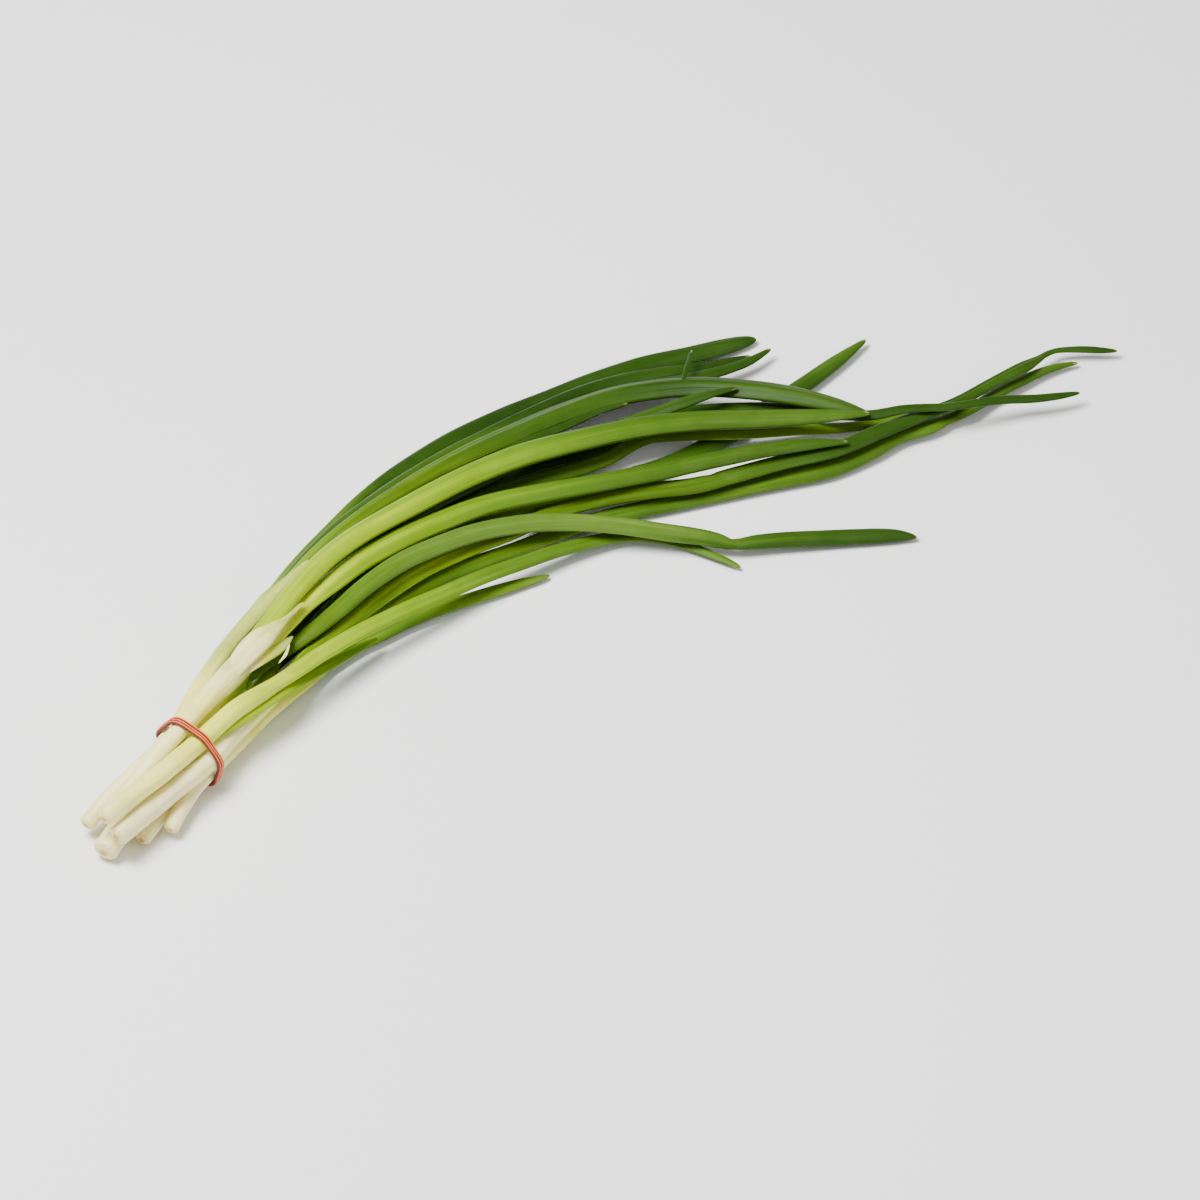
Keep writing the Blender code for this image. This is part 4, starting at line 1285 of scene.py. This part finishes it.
def swept_tube(name: str, sides: int, cuts: int, plate_rings: int) -> bpy.types.Mesh:
    """A closed tube of rings, one long and one broad, whose places still have to be worked out.

    Args:
        name: The mesh's name.
        sides: How many sides a ring has.
        cuts: How many rings there are between the two ends.
        plate_rings: How many rings the cap at the near end has, for a root plate.

    Returns:
        The mesh of a straight tube that runs from a height of 0 to 1.
    """
    bm = bmesh.new()
    bmesh.ops.create_cone(bm, cap_ends=True, segments=sides, radius1=1.0, radius2=1.0, depth=1.0)
    bmesh.ops.translate(bm, verts=bm.verts, vec=(0.0, 0.0, 0.5))
    upright = [edge for edge in bm.edges if abs(edge.verts[0].co.z - edge.verts[1].co.z) > 0.5]
    bmesh.ops.subdivide_edges(bm, edges=upright, cuts=cuts, use_grid_fill=True)
    for level, rings in ((0.0, plate_rings), (1.0, 0)):
        caps = [face for face in bm.faces if len(face.verts) > 4 and abs(face.verts[0].co.z - level) < 0.01]
        for _ in range(rings):
            bmesh.ops.inset_region(bm, faces=caps, thickness=math.cos(math.pi / sides) / (rings + 1))
        bmesh.ops.poke(bm, faces=caps)
    bmesh.ops.recalc_face_normals(bm, faces=bm.faces)
    return finished_mesh(name, bm)


def finished_mesh(name: str, bm: bmesh.types.BMesh) -> bpy.types.Mesh:
    """The mesh of a bmesh, which is then let go.

    Args:
        name: The mesh's name.
        bm: The bmesh.

    Returns:
        The mesh.
    """
    mesh = bpy.data.meshes.new(name)
    bm.to_mesh(mesh)
    bm.free()
    return mesh


def piece_of(mesh: bpy.types.Mesh, material: bpy.types.Material) -> bpy.types.Object:
    """An object at the origin that carries a finished mesh.

    Args:
        mesh: The mesh, which gives the object its name.
        material: Its material.

    Returns:
        The object.
    """
    mesh.shade_smooth()
    mesh.materials.append(material)
    piece = bpy.data.objects.new(mesh.name, mesh)
    bpy.context.scene.collection.objects.link(piece)
    return piece


def dress(mesh: bpy.types.Mesh, name: str, kind: str, values: np.ndarray) -> None:
    """Writes values on a mesh's corners.

    Args:
        mesh: The mesh.
        name: The attribute's name.
        kind: Its type.
        values: A value or a row for each corner.
    """
    attribute = mesh.attributes.new(name, kind, "POINT")
    field = {"FLOAT_COLOR": "color", "FLOAT_VECTOR": "vector", "FLOAT": "value"}[kind]
    attribute.data.foreach_set(field, np.ascontiguousarray(values, dtype=np.float32).ravel())


@dataclass
class Grown:
    """One plant: its shank and its leaves, each a smooth closed skin over its part of the solid."""

    plant: Plant
    tubes: tuple[Tube, ...]
    rows: dict[str, np.ndarray]
    table: Table
    leaf_sides: int = 36
    shank_sides: int = 44
    ring_gap: float = 1.0
    ring_crowding: float = 0.315
    plate_rings: int = 7

    def build(self) -> list[bpy.types.Object]:
        """Makes every skin of the plant.

        Returns:
            The pieces.
        """
        pieces = []
        for tube in self.tubes:
            piece = self.skin_piece(Skin(tube, self.rows[tube.name], self.table))
            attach(piece, "root")
            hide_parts(f"onion_{self.plant.value}")
            pieces.append(piece)
        return pieces

    def skin_piece(self, skin: Skin) -> bpy.types.Object:
        """Sweeps one skin and dresses it.

        Args:
            skin: The surface.

        Returns:
            The piece.
        """
        is_shank = isinstance(skin.tube, Shank)
        sides, plate_rings = (self.shank_sides, self.plate_rings) if is_shank else (self.leaf_sides, 0)
        mesh = swept_tube(skin.tube.name, sides, round(skin.length / self.ring_gap), plate_rings)
        corners = np.empty(len(mesh.vertices) * 3)
        mesh.vertices.foreach_get("co", corners)
        x, y, z = corners.reshape(-1, 3).T
        angle, radial, along = np.arctan2(y, x), np.hypot(x, y), self.crowded(z)
        mesh.vertices.foreach_set("co", skin.points(along, angle, radial).ravel())
        place = skin.reached(along, angle, radial)
        dress(mesh, "straight", "FLOAT_VECTOR", skin.straight(place, angle) * (radial[:, None] ** (1, 1, 0)))
        dress(mesh, "tone", "FLOAT_COLOR", skin.tones(place, angle))
        # The side value carries the wax bloom and its painted sheen, most on the section's edges.
        dress(mesh, "side", "FLOAT", skin.waxiness(angle))
        dress(mesh, "dry", "FLOAT", skin.dryness(along))
        dress(mesh, "scar", "FLOAT", skin.scars(along, radial))
        mesh.update()
        return piece_of(mesh, (SHANK_SKIN if is_shank else LEAF_SKIN).material())

    def crowded(self, along: np.ndarray) -> np.ndarray:
        """Shares of the length with the rings closer together at both ends, where the skin rounds over."""
        return along - self.ring_crowding * np.sin(FULL_TURN * along) / FULL_TURN


@dataclass
class Elastic:
    """The wound elastic: strands side by side, stretched round the shanks and flat where they rest."""

    shanks: tuple[Shank, ...]
    rule: LyingRule
    direction: float = math.radians(60.0)
    strands: int = 3
    strand_width: float = 0.95
    strand_fills: float = 0.98
    thickness: float = 1.5
    gap: float = 0.2
    slack: int = 5
    stations: int = 240
    sides: int = 14
    wanders: Span = (0.10, 0.06)
    thins: float = 0.04
    crown_from: float = 0.3
    grain_run: float = 9.0

    def axes(self) -> tuple[np.ndarray, np.ndarray]:
        """The way the shanks run where they are tied, and the level way across them."""
        along = np.array([math.cos(self.direction), math.sin(self.direction), 0.0])
        return along, np.array([along[1], -along[0], 0.0])

    def circles(self, levels: Span) -> list[tuple[float, float, float]]:
        """The sections of the shanks at some levels.

        Args:
            levels: Places along the shanks in mm.

        Returns:
            Each section's place across and up, and its half width.
        """
        along, across = self.axes()
        circles = []
        for tube in self.shanks:
            rows = self.rule.smooth_rows(tube.rows)
            places = self.rule.table.place(rows)
            run = places @ along
            slant = (run[-1] - run[0]) / np.linalg.norm(places[-1] - places[0])
            for level in levels:
                columns = (places @ across, places[:, 2], rows[:, 3])
                x, z, w = (np.interp(level, run, column) for column in columns)
                circles.append((x, z, w / 2 / slant))
        return circles

    def outline(self, levels: Span) -> np.ndarray:
        """The line stretched round the shanks.

        Args:
            levels: Places along the shanks in mm.

        Returns:
            Evenly spaced points of the closed line, in mm across and up.
        """
        angles = np.linspace(0.0, FULL_TURN, 4 * self.stations, endpoint=False)
        ways = np.column_stack([np.cos(angles), np.sin(angles)])
        reach = np.max([ways @ (x, z) + r + self.gap for x, z, r in self.circles(levels)], axis=0)
        pairs = zip(ways, np.roll(ways, -1, axis=0), reach, np.roll(reach, -1))
        corners = [np.linalg.solve(np.array([way, after]), (near, far)) for way, after, near, far in pairs]
        corners = np.array(corners + corners[:1])
        along = running_length(corners)
        places = np.linspace(0.0, along[-1], self.stations, endpoint=False)
        line = np.column_stack([np.interp(places, along, column) for column in corners.T])
        shifts = range(-self.slack, self.slack + 1)
        return sum(np.roll(line, shift, axis=0) for shift in shifts) / len(shifts)

    def add_strand(self, bm: bmesh.types.BMesh, strand: int) -> None:
        """Sweeps one strand round the shanks.

        Args:
            bm: The bmesh that takes it, with the layers for its grain.
            strand: Its number, counted from the roots.
        """
        along, across = self.axes()
        grain = bm.verts.layers.float_vector["straight"]
        edge = bm.verts.layers.float["edge"]
        turn = np.linspace(0.0, FULL_TURN, self.stations, endpoint=False)
        level = (strand - (self.strands - 1) / 2) * self.strand_width
        inner = self.outline((level - self.strand_width / 2, level + self.strand_width / 2))
        ahead = np.roll(inner, -2, axis=0) - np.roll(inner, 2, axis=0)
        ahead /= np.linalg.norm(ahead, axis=1)[:, None]
        out = np.column_stack([ahead[:, 1], -ahead[:, 0]])
        slow, quick = self.wanders
        run = level + slow * np.sin(2 * turn + 1.7 * strand) + quick * np.sin(5 * turn + strand)
        thick = self.thickness * (1 - self.thins + self.thins * np.sin(3 * turn + 2 * strand))
        loops = []
        for i in range(self.stations):
            ring = bmesh.ops.create_circle(bm, segments=self.sides, radius=0.5)["verts"]
            for corner in ring:
                wide, deep = corner.co.x, corner.co.y + 0.5
                x, z = inner[i] + out[i] * deep * thick[i]
                place = along * (run[i] + wide * self.strand_width * self.strand_fills) + across * x
                corner[grain] = (wide * MM, deep * MM, turn[i] * self.grain_run * MM)
                # Corners under the crown count as groove, so that the underside of each strand takes the
                # painted shade.
                corner[edge] = abs(wide) * 2 if deep > self.crown_from else 1.0
                corner.co = self.rule.table.turned(place + np.array([0.0, 0.0, max(0.0, z)]))
            loops.append(list({side for corner in ring for side in corner.link_edges}))
        for first, second in zip(loops, loops[1:] + loops[:1]):
            bmesh.ops.bridge_loops(bm, edges=first + second)

    def build(self) -> bpy.types.Object:
        """Sweeps every strand and joins them in one piece.

        Returns:
            The piece.
        """
        bm = bmesh.new()
        bm.verts.layers.float_vector.new("straight")
        bm.verts.layers.float.new("edge")
        for strand in range(self.strands):
            self.add_strand(bm, strand)
        bmesh.ops.recalc_face_normals(bm, faces=bm.faces)
        piece = piece_of(finished_mesh("elastic_strands", bm), ElasticFinish().material())
        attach(piece, "root")
        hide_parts("elastic")
        return piece


@dataclass(frozen=True)
class Lamp:
    """A square lamp: its place from the middle of the bunch, before the turn, its side and its watts."""

    name: str
    offset: tuple[float, float, float]
    size: float
    power: float


@dataclass(frozen=True)
class Studio:
    """The pale table, soft lights and the camera at the photograph's angle."""

    table: Table
    look_across: float = 138.0
    look_up: float = 61.5
    distance: float = 11.111
    lens: float = 1000.0
    sensor: float = 36.0
    sees_to: float = 100.0
    elevation: float = math.radians(45.0)
    middle: tuple[float, float, float] = (0.15, 0.0, 0.0)
    half_table: float = 3.0
    table_drop: float = 0.00002
    daylight: float = 0.38
    lamps: tuple[Lamp, ...] = (
        Lamp("key", (-0.50, -0.15, 1.20), 0.6, 44.0),
        Lamp("fill", (0.80, -0.45, 1.00), 1.2, 6.0),
    )

    def build(self) -> None:
        """Makes the table, the lights, the surroundings and the camera."""
        self.make_floor()
        self.make_camera()
        for lamp in self.lamps:
            self.make_light(lamp)
        self.make_world()

    def make_world(self) -> None:
        """Makes the even white light that comes from all round."""
        world = bpy.data.worlds.new("soft_room")
        world.use_nodes = True
        inputs = {"Color": opaque((1.0, 1.0, 1.0)), "Strength": self.daylight}
        Graph(world.node_tree).feed(world.node_tree.nodes["Background"], inputs)
        bpy.context.scene.world = world

    def make_floor(self) -> None:
        """Makes the table: a broad level sheet just under the bunch."""
        bm = bmesh.new()
        bmesh.ops.create_grid(bm, x_segments=8, y_segments=8, size=self.half_table)
        bmesh.ops.translate(bm, verts=bm.verts, vec=(self.middle[0], self.middle[1], -self.table_drop))
        piece_of(finished_mesh("table_top", bm), TableFinish().material())

    def make_camera(self) -> None:
        """Makes the camera, which looks down at the drawing's plane from the front."""
        data = bpy.data.cameras.new("photo_camera")
        data.lens, data.sensor_width, data.clip_end = self.lens, self.sensor, self.sees_to
        camera = bpy.data.objects.new("photo_camera", data)
        drawn = np.array([[self.look_across, self.look_up, 0.0, 0.0]])
        target = self.table.turned(self.table.place(drawn))[0]
        level = math.cos(self.elevation) * self.distance
        turn = self.table.turn
        back = [math.sin(turn) * level, -math.cos(turn) * level, math.sin(self.elevation) * self.distance]
        camera.location = target + np.array(back)
        camera.rotation_euler = (math.pi / 2 - self.elevation, 0.0, turn)
        bpy.context.scene.collection.objects.link(camera)
        bpy.context.scene.camera = camera

    def make_light(self, lamp: Lamp) -> None:
        """Makes a lamp that shines at the middle of the bunch.

        Args:
            lamp: Its place, size and power.
        """
        data = bpy.data.lights.new(lamp.name, "AREA")
        data.size, data.energy = lamp.size, lamp.power
        light = bpy.data.objects.new(lamp.name, data)
        offset = Vector(self.table.turned(np.array(lamp.offset) / MM))
        light.location = Vector(self.middle) + offset
        light.rotation_euler = (-offset).to_track_quat("-Z", "Y").to_euler()
        bpy.context.scene.collection.objects.link(light)


LEAF_SKIN = GreenFinish("leaf_skin")
SHANK_SKIN = GreenFinish(
    "shank_skin",
    roughness=0.36,
    vein_contrast=0.16,
    streak_contrast=0.35,
    bloom=0.0,
    glow=Glow(weight=0.18, shine=0.4),
)


def main() -> None:
    """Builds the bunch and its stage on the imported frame."""
    logging.basicConfig(level=logging.INFO, format="%(message)s")
    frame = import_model()
    LOG.info("frame with %d nodes", len(frame["nodes"]))
    table = Table()
    rule = LyingRule(table)
    rows = rule.laid((*SHANKS, *LEAVES)) | {tube.name: rule.smooth_rows(tube.rows) for tube in SHEATHS}
    for shank in SHANKS:
        own = tuple(tube for tube in (*LEAVES, *SHEATHS) if tube.plant is shank.plant)
        for piece in Grown(shank.plant, (shank, *own), rows, table).build():
            LOG.info("%s: %s", shank.plant.value, piece.name)
    LOG.info("elastic: %s", Elastic(SHANKS, rule).build().name)
    Studio(table).build()


if __name__ == "__main__":
    main()
